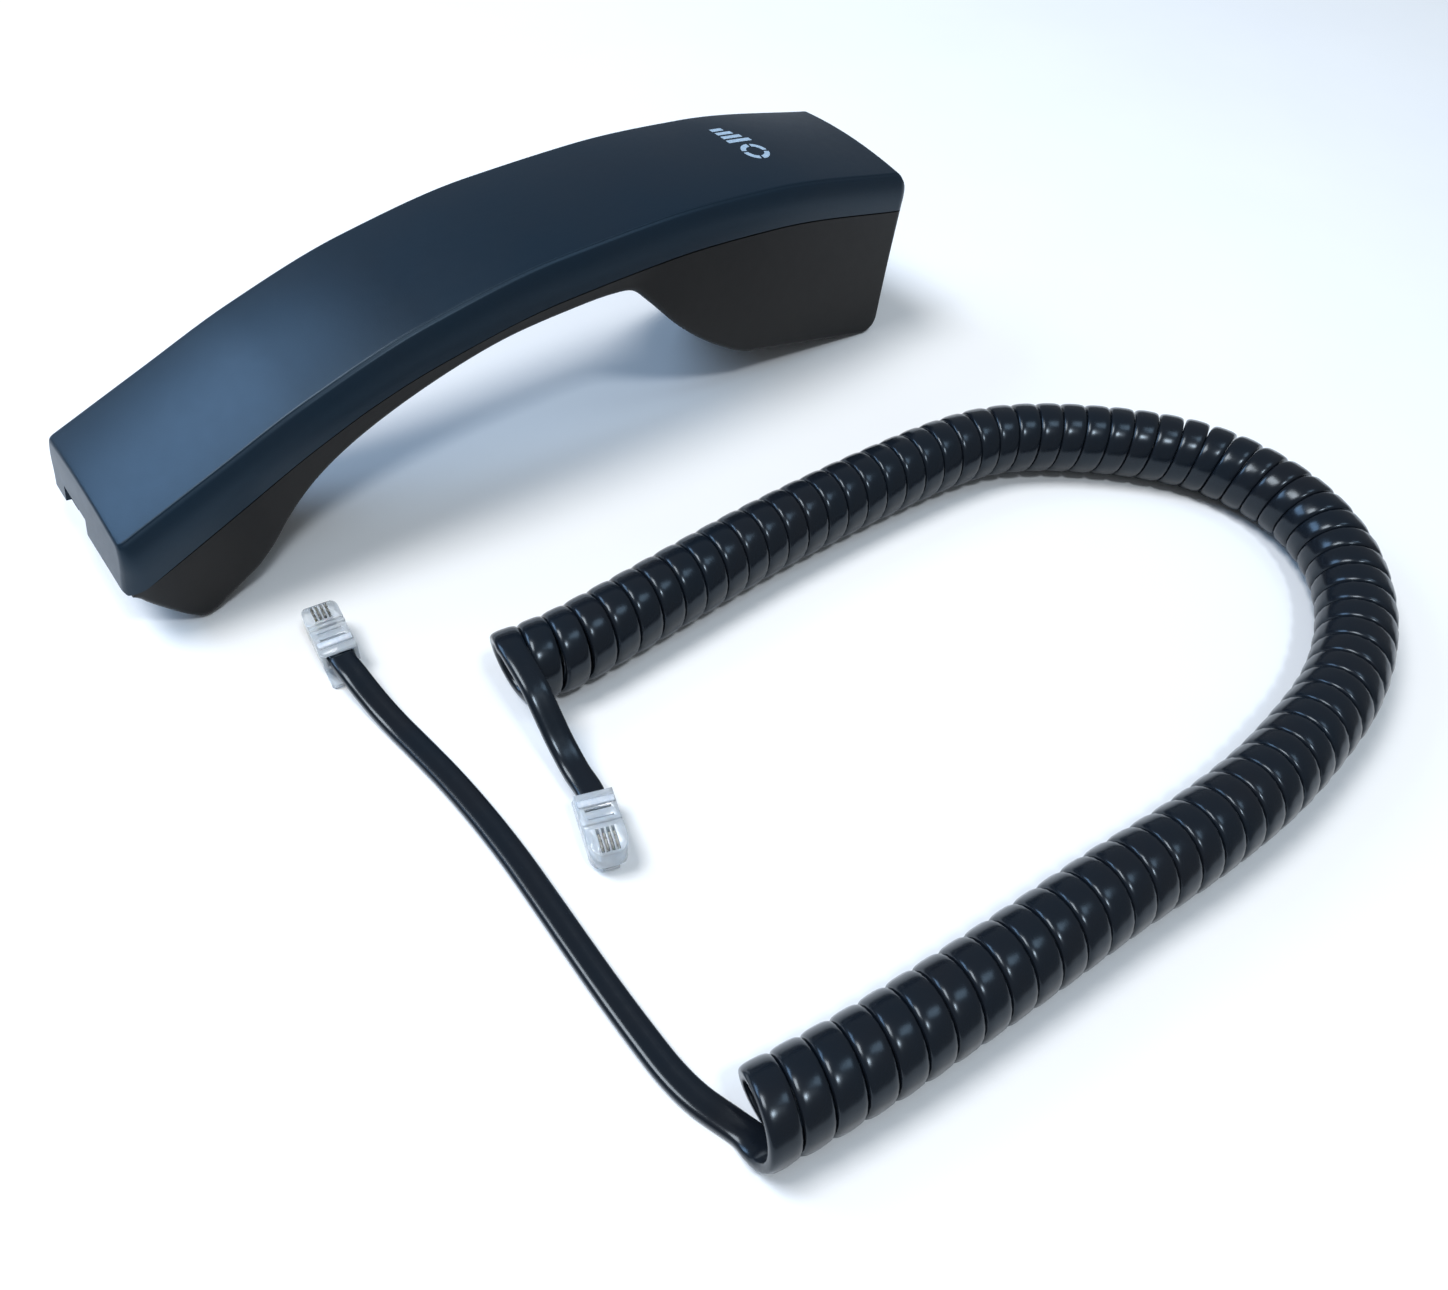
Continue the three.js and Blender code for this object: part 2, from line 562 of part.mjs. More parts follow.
// ---- Circuit board and ballast ---------------------------------------------------------------
function board() {
  const { length, width, thickness } = BOARD;
  const high = [length / 2, width / 2, thickness / 2];
  const sheet = solid(block(high.map((side) => -side), high));
  const hole = solid(post(0, 0, BORE.boardPilot, -thickness, thickness, 10));
  add('circuit_board', geometryOf(cut(sheet, [hole])), FINISH.board, boardGroup);
  const under = -thickness / 2 - GAP;
  const { headRadius } = SCREW;
  const screwProfile = [[0, 5.8], [1.05, 5.4], [1.05, under], [headRadius, under],
    [headRadius, under - 1.2], [0, under - 1.2]];
  add('board_screw', turned(screwProfile, 10), FINISH.steel, boardGroup);
  const { x, y, radius, from, to } = CAPACITOR;
  add('board_capacitor', post(x, y, radius, from, to, 12), FINISH.darkSteel, boardGroup);
}
board();

function ballast() {
  const { x, z, length, width, height } = BALLAST;
  const low = [x - length / 2, -width / 2, z - height / 2];
  const bar = solid(block(low, [x + length / 2, width / 2, z + height / 2]));
  const holes = ballastScrews.map((px) => upright(px, BORE.through, z - height, z + height));
  add('ballast_weight', geometryOf(cut(bar, holes)), FINISH.darkSteel);
  const head = z - height / 2 - BALLAST_HEAD.below;
  ballastScrews.forEach((px, i) => {
    const body = screw(px, head, backEdge(px) - 4.2, BALLAST_HEAD.radius);
    add(`ballast_screw_${i + 1}`, body, FINISH.steel);
  });
}
ballast();

// ---- Wires inside the handset -----------------------------------------------------------------
function wires() {
  const wire = (route, steps) => tube(route, WIRE_RADIUS, WIRE_RADIUS, 6, steps);
  const pair = [['red', 1, FINISH.wireRed], ['black', -1, FINISH.wireBlack]];
  for (const [color, side, look] of pair) {
    const route = RECEIVER_WIRE.map(([x, y, z]) => [x, side * y, z]);
    add(`wire_receiver_${color}`, wire(route, 40), look);
  }
  for (const [color, side, look] of pair) {
    const route = MIC_WIRE.route.map(([x, z]) => [x, MIC_Y + side * MIC_WIRE.side, z]);
    add(`wire_mic_${color}`, wire(route, 12), look);
  }
  [FINISH.wireBlack, FINISH.wireRed, FINISH.wireGreen, FINISH.wireYellow].forEach((look, i) => {
    const y = JACK.y + (i - 1.5) * JACK_WIRE.pitch;
    add(`wire_jack_${i + 1}`, wire(JACK_WIRE.route.map(([x, z]) => [x, y, z]), 10), look);
  });
}
wires();

// ---- Curly cord ---------------------------------------------------------------------------------
function cord() {
  const { width, thickness, coilRadius } = CORD;
  const coil = COIL_ROUTE.map(([x, y]) => [x, y, coilRadius]);
  add('cord_coil', coilTube(coil, coilRadius), FINISH.vinyl);
  add('cord_tail_a', tube(TAIL_A_ROUTE, width / 2, thickness / 2, 8, 20), FINISH.vinyl);
  add('cord_tail_b', tube(TAIL_B_ROUTE, width / 2, thickness / 2, 8, 9), FINISH.vinyl);
}

// The coil's outer shape is one round tube.
function coilTube(points, radius) {
  const sides = 12;
  const shape = new THREE.Shape();
  for (let i = 0; i < sides; i += 1) {
    const angle = (2 * Math.PI * (i + 0.5)) / sides;
    const flat = radius / Math.cos(Math.PI / sides);
    const [u, v] = [flat * Math.cos(angle), flat * Math.sin(angle)];
    if (i === 0) shape.moveTo(u, v);
    else shape.lineTo(u, v);
  }
  shape.closePath();
  const path = through(points);
  return new THREE.ExtrudeGeometry(shape, { steps: 32, extrudePath: path, bevelEnabled: false });
}
cord();

// ---- Modular plugs, each lying on its latch --------------------------------------------------------
function plug({ name, x, y, heading }) {
  const group = new THREE.Group();
  group.position.set(x, y, 0);
  group.rotation.z = THREE.MathUtils.degToRad(heading);
  part.add(group);
  const { length, width, bottom, top, step, stepFrom, cordWay, contactWell } = PLUG;
  const outline = [[0, bottom + 0.5], [0.8, bottom], [length - 1, bottom], [length, bottom + 1],
    [length, top - 1.4], [length - 1.2, top], [stepFrom + step, top], [stepFrom, top - step],
    [0, top - step]];
  const ways = [cordWay, contactWell].map(({ low, high }) => solid(block(low, high)));
  add(`${name}_body`, geometryOf(cut(solid(slab(outline, width)), ways)), FINISH.clear, group);
  for (let i = 0; i < CONTACT.count; i += 1) {
    const across = (i - (CONTACT.count - 1) / 2) * CONTACT.pitch;
    const blade = slab(PLUG.blade, PLUG.bladeThickness).translate(0, across, 0);
    add(`${name}_contact_${i + 1}`, blade, FINISH.gold, group);
  }
  add(`${name}_latch`, latch(), FINISH.clear, group);
}

// The latch springs from the nose and runs back under the body, to a wide thumb end behind it.
function latch() {
  const { noseX, noseHalf, noseHeights, bend, bendX, neckX, thumbX, thumbHalf, end } = LATCH;
  const { rest, thickness } = LATCH;
  const side = slab([[noseX, noseHeights[1]], [noseX, noseHeights[0]], [bendX, bend], [end, rest],
    [end, rest + thickness], [bendX, bend + 1.2 * thickness]], 2 * PLUG.width);
  const half = [[end, thumbHalf - 0.5], [end + 0.6, thumbHalf], [thumbX, thumbHalf], [neckX, noseHalf],
    [noseX + 1, noseHalf]];
  const outline = [...half, ...half.map(([u, v]) => [u, -v]).reverse()];
  const plan = new THREE.Shape(outline.map(([u, v]) => new THREE.Vector2(u, v)));
  const prism = new THREE.ExtrudeGeometry(plan, { depth: 4, bevelEnabled: false }).translate(0, 0, -1);
  return geometryOf(solid(side).intersect(solid(prism)));
}
PLUGS.forEach(plug);

export default part;
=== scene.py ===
"""Looks for a corded telephone handset and its detached curly cord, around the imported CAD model."""
import json
import math

import bmesh
import bpy
from mathutils import Matrix, Vector


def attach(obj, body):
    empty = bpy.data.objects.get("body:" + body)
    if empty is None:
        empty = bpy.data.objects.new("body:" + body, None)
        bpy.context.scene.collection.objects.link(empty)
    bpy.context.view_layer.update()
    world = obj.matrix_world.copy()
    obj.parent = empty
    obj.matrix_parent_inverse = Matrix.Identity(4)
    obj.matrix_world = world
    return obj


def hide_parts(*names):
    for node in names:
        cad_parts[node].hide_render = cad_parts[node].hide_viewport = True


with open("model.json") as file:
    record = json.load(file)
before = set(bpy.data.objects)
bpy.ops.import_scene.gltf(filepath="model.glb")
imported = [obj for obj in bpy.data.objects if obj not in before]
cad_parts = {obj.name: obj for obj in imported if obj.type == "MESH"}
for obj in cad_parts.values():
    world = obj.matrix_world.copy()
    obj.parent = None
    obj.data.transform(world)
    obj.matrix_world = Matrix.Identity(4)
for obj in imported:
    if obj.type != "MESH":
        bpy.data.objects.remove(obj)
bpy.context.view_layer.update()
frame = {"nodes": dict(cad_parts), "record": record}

MM = 0.001
UP = Vector((0, 0, 1))

# ---- Driving dimensions, in millimetres --------------------------------------------------------
END_X = 106.0            # half of the handset's length
MOUTH_WIDTH = 45.0
EAR_WIDTH = 43.0
MOUTH_TOP_X = -104.2
CROWN = 1.2              # rise of the back between its edges
EDGE_INSET = 2.6         # how far in from the side the back's crisp edge runs
EDGE_DEPTH = 8.0         # how far below that edge the side reaches its full width
CORNER_MOUTH = (1.3, 3.8)  # plan radius of the corners at the back's edge, and low on the side
CORNER_EAR = (2.2, 3.4)
END_RIM = (3.0, 6.5)     # rounding of the ear end's top edge, along X and down
MOUTH_RIM = 0.5
LEDGE = 0.32             # the back's panel stands this much above its side
LEDGE_PROFILE = [        # that panel's crease and edge: steps outward from its crest, and heights above it
    (0.1, -LEDGE - 0.05), (0, -LEDGE + 0.08), (-0.04, -0.18), (-0.2, -0.04), (-0.5, 0.01),
]
NOTCH = ((-115, 0.2, 10), (-97.2, 12.8, 19))              # lowest and highest corner of the back's notch
PLUG_OPENING = ((-115, 2.2, 10.8), (-97.2, 10.8, 19))     # the front shell's opening, narrower than the notch
BAND = 9.5               # height of the back shell's side
BAND_GROWTH = 2.4        # extra height that it gains at the mouth end
BAND_GROWTH_FROM = -50   # where along X that growth begins
BAND_GROWTH_SPAN = 55
SEAM_GAP = 0.36
SKIN = 1.2               # wall of the visible shells
LEAN = 2.8               # how far the stations between the outlines lean towards the ear end
LEAN_GROWTH = 1.2        # what the lean gains or loses at LEAN_SPAN from the middle
LEAN_SPAN = 102
LOWER_CORNER = (2.8, 1.2)      # radius of the front shell's long edges at the mouth and the ear end
EAR_CORNER_REACH = 0.4   # the ear end's plan corners end this far past it
CREST_DEPTH = 0.2        # the crest keeps inside the width that the side has at this depth
CREST_INSET = 0.3        # and this much inside it
CROWN_INSET = 0.8        # where the crowned part begins, from the same line
SIDE_END = 0.16          # the side ends this far below the panel's crease
SHALLOWEST_FRONT = 0.5   # stations with less than this below the seam have no front shell
FIRST_STATIONS = (0, 0.04, 0.12, 0.26, 0.5, 0.75)   # shares of the outline's first step
RIM_SQUEEZE = 2          # length before the ear end's rim into which the last stations are fitted
RIM_STATIONS = 10
TOE_STEP = (0.02, 0.1)   # how the outline's last point creeps on from one rim station to the next
CORNER_BLEND = 0.3       # how far a lower corner's arc stays inside the side's line, as a share of its radius
SIDE_CROWDING = 1.5      # above 1 it crowds the side's points towards the crest
CROWN_FADE = 0.9         # share of the crown that is lost down the ear end's rim
SIDE_STEPS = 8
TOP_STEPS = 8
CORNER_STEPS = 6
WALL_STEPS = 5
SIDE_SWEEP = 2.2         # power of the curve by which the back's side reaches its full width
SEAM_HALVINGS = 30       # how closely the seam's place on a station is found
BACK_EDGE = [
    (-106, 25.9), (-82, 35.6), (-60, 44.3), (-32, 52.3), (0, 56.7), (28, 57.3), (60, 55.1), (106, 46.1),
]
EAR = {"x": 76.2, "z": 5.5, "tilt": 14, "reach": 21.8}
MOUTH = {"x": -85.2, "z": 3.8, "tilt": -31.5, "reach": 6.6}
MIC_Y = -5.5
CHIN = [(-106.4, 15), (-103.8, 11.2), (-99.8, 6.2), (-95.8, 1.7), (-93.2, 0)]
GRIP = [(-75, 11.6), (-70.7, 16.9), (-66.2, 21.5), (-60, 26.3), (-50, 31.6), (-34, 37.4), (-16, 41.7),
        (2, 43.1), (13, 43.1), (19, 42), (24, 37.2), (33.5, 26.6), (44, 17.6)]
TOE = [(99.6, 0), (101.8, 1.2), (102.6, 3.2)]
CASE_SCREWS = ((-40, 35.8), (15, 43.1))   # X and the height of the grip's underside there
SCREW_HOLE_RADIUS = 2.9
SCREW_DRILL = (-3, 3.4)  # from below the grip's underside to above it
SOUND_DRILL = (-2, 3)
EAR_HOLES = {"rows": 2, "pitch": 4.4, "radius": 1.1}
MIC_HOLES = {"points": [(-2, 0), (0, 0), (2, 0)], "radius": 0.6}
HOOK_SLOT = {"x": 39, "z": 22, "tilt": -48, "half_size": (6, 6, 1.6)}

INK_HEIGHT = 0.05        # of the printed mark above the back
MARK_BARS = {"count": 4, "x": 63.2, "y": 8.6, "step": 2.3, "width": 1.5, "patch": 1.2, "shortest": 3}
MARK_RING = {"x": 67.2, "y": -3.6, "inner": 2.3, "outer": 3.7, "sides": 28, "gap_every": 7}

RIBBON_WIDTH = 5.5
RIBBON_THICKNESS = 2.6
TAIL_A_STEP = 1.6        # distance between the rings of the long tail
TAIL_B_STEP = 1.2        # and of the short one
COIL_WIDTH = 5.86        # the ribbon spreads a little where it is wound
GROOVE = 0.13            # depth of the long tail's grooves between the cores, as a share of the ribbon
TAIL_B_GROOVE = GROOVE / 3
COIL_RADIUS = 8.6
COIL_TURNS = 72.5
STEPS_PER_TURN = 24
AXIS_STEPS = 4000        # equal steps along the coil's middle line
BEND_REACH = 30          # steps to either side over which its direction and bend are taken
TURN_GAP = 0.1           # between neighbouring turns, and at the coil's two ends
GROOVE_PLACE = 0.25      # where the grooves lie, as a share of the ribbon's half width
GROOVE_SPREAD = 0.16
SECTION_POINTS = 28
SECTION_POWERS = (0.72, 0.5)   # below 1 they square the section's outline off, across and through it
COIL_ROUTE = [
    (-69.8, -177.6), (-60, -179.2), (-45, -181.2), (-28, -182.6), (-8, -183.8), (14, -184.8),
    (36, -186.4), (58, -186.4), (76, -184.4), (92, -181.2), (106, -175.6), (118, -167.6),
    (127.5, -157), (133, -144), (133.4, -130.4), (128.6, -115.4), (119.6, -103.6), (108.6, -93.6),
    (98, -86), (86, -80.2), (72, -77.4), (54, -76.1), (36, -75.5), (16, -75.5), (-4, -76.4),
    (-24, -77.5), (-39, -77.9), (-52.6, -76.4),
]
TAIL_A_ROUTE = [
    (-75.9, -52.5, 5.35), (-75.7, -57.2, 4.95), (-75.3, -61, 3.8), (-74.7, -65.5, 2.5), (-73.9, -71, 1.55),
    (-72.9, -78, 1.35), (-71.7, -88, 1.35), (-70.9, -99, 1.35), (-70.6, -111, 1.35),
    (-70.8, -122, 1.35), (-71.1, -133, 1.35), (-71.3, -143, 1.35), (-71.3, -153, 1.35),
    (-71, -162, 1.35), (-70, -168.2, 1.35),
]
TAIL_B_ROUTE = [
    (-50.6, -87, 14.5), (-50.9, -90, 13), (-51.1, -93.2, 10.7), (-51.3, -96.6, 8.3),
    (-51.5, -100.4, 6.4), (-51.8, -104, 5.5), (-52.2, -109.2, 5.35),
]
PLUG_LENGTH = 14.8
PLUG_HALF_WIDTH = 3.825
NOSE_RADIUS = 3.3
JACKET_REACH = 7.6       # how far the cord's jacket runs into a plug
CORD_HEIGHT_IN_PLUG = 5.35
CONTACTS = 4
CONTACT_PITCH = 1.02
PLUGS = {"a": (-75.9, -51.6, 83), "b": (-52.4, -110.2, -109)}   # X, Y and heading at the cord's entry
PLUG_OUTLINE = [         # from the side, round from the entry's lower edge
    (0, 2.8), (0.8, 2.3), (PLUG_LENGTH - 1, 2.3), (PLUG_LENGTH, 3.3), (PLUG_LENGTH, 6.3),
    (PLUG_LENGTH - 0.3, 7.2), (PLUG_LENGTH - 0.9, 7.9), (PLUG_LENGTH - 1.9, 8.3), (8.4, 8.3), (8.2, 7.9),
    (7.8, 7.9), (7.6, 8.3), (7.2, 8.3), (7.0, 7.7), (6.4, 7.5), (0.3, 7.5), (0, 7.2),
]
PLUG_EDGE = 0.18         # rounding of its edges
NOSE_STEPS = 8
NOSE_CUT_BACK = -2       # the cutter that shapes the nose starts behind the plug
NOSE_CUT_HEIGHTS = (-1, 12)
PLUG_HOLLOWS = [         # lowest and highest corners
    ((-1, -3.0, 3.9), (8.2, 3.0, 6.8)),     # room for the jacket
    ((3.9, -2.6, 6.6), (4.4, 2.6, 9)),      # two grooves across the top, in front of the crimp bar
    ((6.0, -2.6, 6.6), (6.3, 2.6, 9)),
    ((8.1, -2.0, 4.2), (13.0, 2.0, 5.2)),   # room for the cores
]
CONTACT_SLOT = ((9.0, 5.1), (14.0, 9))      # X and Z of its lowest and highest corner
CONTACT_SLOT_HALF_WIDTH = 0.32
CRIMP_BAR_OUTLINE = [(1.9, 7.0), (3.3, 7.0), (3.45, 7.9), (3.2, 8.05), (2.2, 8.05), (1.9, 7.8)]
CRIMP_BAR_INSET = 0.25
CRIMP_BAR_EDGE = 0.12
CORE_ROUTE = [(7.4, 1.1, 5.3), (8.6, 1, 4.9), (10.4, 1, 4.72), (12.7, 1, 4.72)]   # X, share of Y, and Z
CORE_RADIUS = 0.4
CORE_COLORS = ("wire_black", "wire_red", "wire_green", "wire_yellow")

# ---- Camera and light, in millimetres for the camera and in metres and watts for the lights ----
CAMERA_PLACE = (-125.1, -223.6, 210.5)
CAMERA_VIEW = (0.4355, 0.4808, -0.7611)
CAMERA_ROLL = 6.05       # degrees
CAMERA_LENS = 31.08
SENSOR_WIDTH = 36
FLOOR_REACH = 3000
FLOOR_DROP = 0.0001      # metres, so that nothing lies in the floor's own plane
SKY_COLOR = (0.86, 0.93, 1.0)
SKY_STRENGTH = 0.25


# ---- Small helpers ------------------------------------------------------------------------------
def mix(a, b, t):
    return a + (b - a) * t


def clamp(value, low, high):
    return max(low, min(high, value))


def curve_through(points, spacing):
    """A centripetal Catmull-Rom curve through the points, sampled about every spacing."""
    points = [Vector(p) for p in points]
    first = points[0] * 2 - points[1]
    last = points[-1] * 2 - points[-2]
    chain = [first, *points, last]
    line = []
    for p0, p1, p2, p3 in zip(chain, chain[1:], chain[2:], chain[3:]):
        t1 = (p1 - p0).length ** 0.5
        t2 = t1 + (p2 - p1).length ** 0.5
        t3 = t2 + (p3 - p2).length ** 0.5
        steps = max(1, round((p2 - p1).length / spacing))
        for i in range(steps):
            t = mix(t1, t2, i / steps)
            a1 = p0 * ((t1 - t) / t1) + p1 * (t / t1)
            a2 = p1 * ((t2 - t) / (t2 - t1)) + p2 * ((t - t1) / (t2 - t1))
            a3 = p2 * ((t3 - t) / (t3 - t2)) + p3 * ((t - t2) / (t3 - t2))
            b1 = a1 * ((t2 - t) / t2) + a2 * (t / t2)
            b2 = a2 * ((t3 - t) / (t3 - t1)) + a3 * ((t - t1) / (t3 - t1))
            line.append(b1 * ((t2 - t) / (t2 - t1)) + b2 * ((t - t1) / (t2 - t1)))
    line.append(points[-1])
    return line


def height_curve(points):
    """Height along X through the points, without overshoot between them."""
    rise = [(q[1] - p[1]) / (q[0] - p[0]) for p, q in zip(points, points[1:])]
    slopes = [rise[0]]
    for a, b in zip(rise, rise[1:]):
        slopes.append(0 if a * b <= 0 else 2 * a * b / (a + b))
    slopes.append(rise[-1])

    def height(x):
        i = 0
        while i < len(points) - 2 and points[i + 1][0] < x:
            i += 1
        (x0, z0), (x1, z1) = points[i], points[i + 1]
        span = x1 - x0
        t = (x - x0) / span
        a = slopes[i] * span - (z1 - z0)
        b = -slopes[i + 1] * span + (z1 - z0)
        return (1 - t) * z0 + t * z1 + t * (1 - t) * (a * (1 - t) + b * t)

    return height


back_edge = height_curve(BACK_EDGE)


def seam_height(x):
    """Height of the seam between the two shells."""
    return back_edge(x) - BAND - BAND_GROWTH * clamp((BAND_GROWTH_FROM - x) / BAND_GROWTH_SPAN, 0, 1)


def new_object(name, vertices, faces, scale=MM):
    """A mesh object from millimetre points, with its faces turned outwards."""
    mesh = bpy.data.meshes.new(name)
    mesh.from_pydata([Vector(v) * scale for v in vertices], [], faces)
    obj = bpy.data.objects.new(name, mesh)
    bpy.context.scene.collection.objects.link(obj)
    bm = bmesh.new()
    bm.from_mesh(mesh)
    bmesh.ops.recalc_face_normals(bm, faces=bm.faces)
    bm.to_mesh(mesh)
    bm.free()
    return obj


def shade(obj, sharp_above=38):
    """Smooth shading, with sharp edges where faces meet at more than the angle."""
    bm = bmesh.new()
    bm.from_mesh(obj.data)
    for face in bm.faces:
        face.smooth = True
    for edge in bm.edges:
        edge.smooth = len(edge.link_faces) == 2 and edge.calc_face_angle(0) < math.radians(sharp_above)
    bm.to_mesh(obj.data)
    bm.free()
    return obj


def bake_modifiers(obj):
    """Puts the object's modifiers into its mesh."""
    graph = bpy.context.evaluated_depsgraph_get()
    mesh = bpy.data.meshes.new_from_object(obj.evaluated_get(graph))
    obj.modifiers.clear()
    obj.data = mesh
    return obj


def bevel(obj, width, segments=2, angle=35):
    """Rounds the edges where faces meet at more than the angle."""
    modifier = obj.modifiers.new("edges", "BEVEL")
    modifier.width = width * MM
    modifier.segments = segments
    modifier.limit_method = "ANGLE"
    modifier.angle_limit = math.radians(angle)
    modifier.harden_normals = True
    return bake_modifiers(obj)


def sweep(rings, closed_ends=True):
    """Vertices and faces of a tube through rings of points."""
    count = len(rings[0])
    vertices = [p for ring in rings for p in ring]
    faces = []
    for r in range(len(rings) - 1):
        for i in range(count):
            j = (i + 1) % count
            faces.append((r * count + i, r * count + j, (r + 1) * count + j, (r + 1) * count + i))
    if closed_ends:
        faces.append(tuple(range(count)))
        faces.append(tuple(range((len(rings) - 1) * count, len(rings) * count)))
    return vertices, faces


def strips(rings, cap_first, cap_last):
    """Vertices and faces of an open skin through rows of points, with the ends filled if asked."""
    count = len(rings[0])
    vertices = [p for ring in rings for p in ring]
    faces = []
    for r in range(len(rings) - 1):
        for i in range(count - 1):
            faces.append((r * count + i, r * count + i + 1, (r + 1) * count + i + 1, (r + 1) * count + i))
    if cap_first:
        faces.append(tuple(range(count)))
    if cap_last:
        faces.append(tuple(range((len(rings) - 1) * count, len(rings) * count)))
    return vertices, faces


def box_cutter(low, high):
    """A block between its lowest and highest corner, to cut with."""
    (x0, y0, z0), (x1, y1, z1) = low, high
    points = [(x, y, z) for x in (x0, x1) for y in (y0, y1) for z in (z0, z1)]
    faces = [(0, 1, 3, 2), (4, 6, 7, 5), (0, 4, 5, 1), (2, 3, 7, 6), (0, 2, 6, 4), (1, 5, 7, 3)]
    return new_object("cut", points, faces)


def carve(obj, cutters, operation="DIFFERENCE"):
    """Cuts the object with each of the cutters and removes them."""
    for cutter in cutters:
        modifier = obj.modifiers.new("cut", "BOOLEAN")
        modifier.operation = operation
        modifier.solver = "EXACT"
        modifier.object = cutter
    bake_modifiers(obj)
    for cutter in cutters:
        bpy.data.objects.remove(cutter)
    return obj


# ---- Materials ----------------------------------------------------------------------------------
WAVE_TO_THREAD = 6.3     # makes a band of the wave texture about one thread wide
RUN_PATTERN = 14         # two bricks' length of the board's pattern of copper runs, in millimetres


class Look:
    """A node material that is built up step by step."""

    def __init__(self, name, color, roughness, metallic=0.0):
        self.material = bpy.data.materials.new(name)
        self.material.use_nodes = True
        self.nodes = self.material.node_tree.nodes
        self.links = self.material.node_tree.links
        self.shader = self.nodes["Principled BSDF"]
        self.color = color
        self.roughness = roughness
        self.shader.inputs["Base Color"].default_value = (*color, 1)
        self.shader.inputs["Roughness"].default_value = roughness
        self.shader.inputs["Metallic"].default_value = metallic
        self.height = None
        self.place = self.nodes.new("ShaderNodeTexCoord").outputs["Object"]

    def noise(self, size, detail=3.0, roughness=0.55, stretch=(1, 1, 1)):
        """Noise whose features are about size millimetres across."""
        mapping = self.nodes.new("ShaderNodeMapping")
        mapping.inputs["Scale"].default_value = stretch
        self.links.new(self.place, mapping.inputs["Vector"])
        texture = self.nodes.new("ShaderNodeTexNoise")
        texture.inputs["Scale"].default_value = 1 / (size * MM)
        texture.inputs["Detail"].default_value = detail
        texture.inputs["Roughness"].default_value = roughness
        self.links.new(mapping.outputs["Vector"], texture.inputs["Vector"])
        return texture.outputs["Fac"]

    def ramp(self, source, low, high, start=0.35, end=0.65):
        """The source spread between two values or two colours."""
        ramp = self.nodes.new("ShaderNodeValToRGB")
        as_color = (lambda c: (*c, 1)) if isinstance(low, tuple) else (lambda c: (c, c, c, 1))
        ramp.color_ramp.elements[0].position = start
        ramp.color_ramp.elements[1].position = end
        ramp.color_ramp.elements[0].color = as_color(low)
        ramp.color_ramp.elements[1].color = as_color(high)
        self.links.new(source, ramp.inputs["Fac"])
        return ramp.outputs["Color"]

    def tint(self, source, other, start=0.35, end=0.65):
        """Base colour that wanders between the look's colour and another."""
        spread = self.ramp(source, self.color, other, start, end)
        self.links.new(spread, self.shader.inputs["Base Color"])
        return self

    def wear(self, source, rougher, start=0.35, end=0.65):
        """Roughness that wanders between the look's own and another."""
        spread = self.ramp(source, self.roughness, rougher, start, end)
        self.links.new(spread, self.shader.inputs["Roughness"])
        return self

    def relief(self, source, depth):
        """Bump of the given depth in millimetres, laid over what is there already."""
        bump = self.nodes.new("ShaderNodeBump")
        bump.inputs["Strength"].default_value = 1.0
        bump.inputs["Distance"].default_value = depth * MM
        self.links.new(source, bump.inputs["Height"])
        if self.height:
            self.links.new(self.height, bump.inputs["Normal"])
        self.height = bump.outputs["Normal"]
        self.links.new(self.height, self.shader.inputs["Normal"])
        return self

    def put(self, **values):
        """Numbers set straight on the shader's sockets, such as IOR=1.5."""
        for name, value in values.items():
            self.shader.inputs[name.replace("_", " ")].default_value = value
        return self


def moulded(name, color, other, roughness, grain, grain_depth):
    """Moulded plastic: a fine spark texture, a slow drift of colour and a few rubbed patches."""
    look = Look(name, color, roughness)
    look.tint(look.noise(22, detail=2), other, start=0.3, end=0.7)
    look.wear(look.noise(3, detail=5), roughness + 0.03, start=0.35, end=0.75)
    look.relief(look.noise(grain, detail=2, roughness=0.6), grain_depth)
    look.relief(look.noise(grain * 9, detail=2), grain_depth * 0.8)
    return look


def back_plastic():
    look = moulded("back_plastic", (0.0050, 0.0135, 0.0245), (0.0068, 0.0138, 0.0235),
                   roughness=0.35, grain=0.32, grain_depth=0.016)
    return look.put(Specular_IOR_Level=0.34, Specular_Tint=(0.62, 0.82, 1.0, 1)).material


def black_plastic():
    return moulded("black_plastic", (0.010, 0.011, 0.012), (0.015, 0.016, 0.018),
                   roughness=0.36, grain=0.3, grain_depth=0.01).material


def front_plastic():
    look = moulded("front_plastic", (0.0058, 0.0055, 0.0060), (0.0078, 0.0074, 0.0074),
                   roughness=0.46, grain=0.4, grain_depth=0.014)
    return look.put(Specular_IOR_Level=0.2).material


def cord_vinyl():
    """Glossy black PVC with a faint drawn grain, dust and handling marks."""
    look = Look("cord_vinyl", (0.0052, 0.0088, 0.0140), roughness=0.2)
    look.tint(look.noise(14, detail=3), (0.0076, 0.0092, 0.0128), start=0.3, end=0.7)
    look.wear(look.noise(1.5, detail=5), 0.24, start=0.4, end=0.8)
    look.relief(look.noise(3.2, detail=2), depth=0.004)
    look.relief(look.noise(0.25, detail=2), depth=0.002)
    return look.put(Specular_IOR_Level=0.36, Specular_Tint=(0.82, 0.92, 1.0, 1)).material


def clear_plastic():
    look = Look("clear_plastic", (0.96, 0.985, 1.0), roughness=0.07)
    look.tint(look.noise(3, detail=2), (0.86, 0.93, 1.0), start=0.3, end=0.7)
    look.wear(look.noise(1.2, detail=4), 0.2, start=0.5, end=0.8)
    look.relief(look.noise(2.4, detail=2), depth=0.02)
    return look.put(Transmission_Weight=0.66, IOR=1.42).material


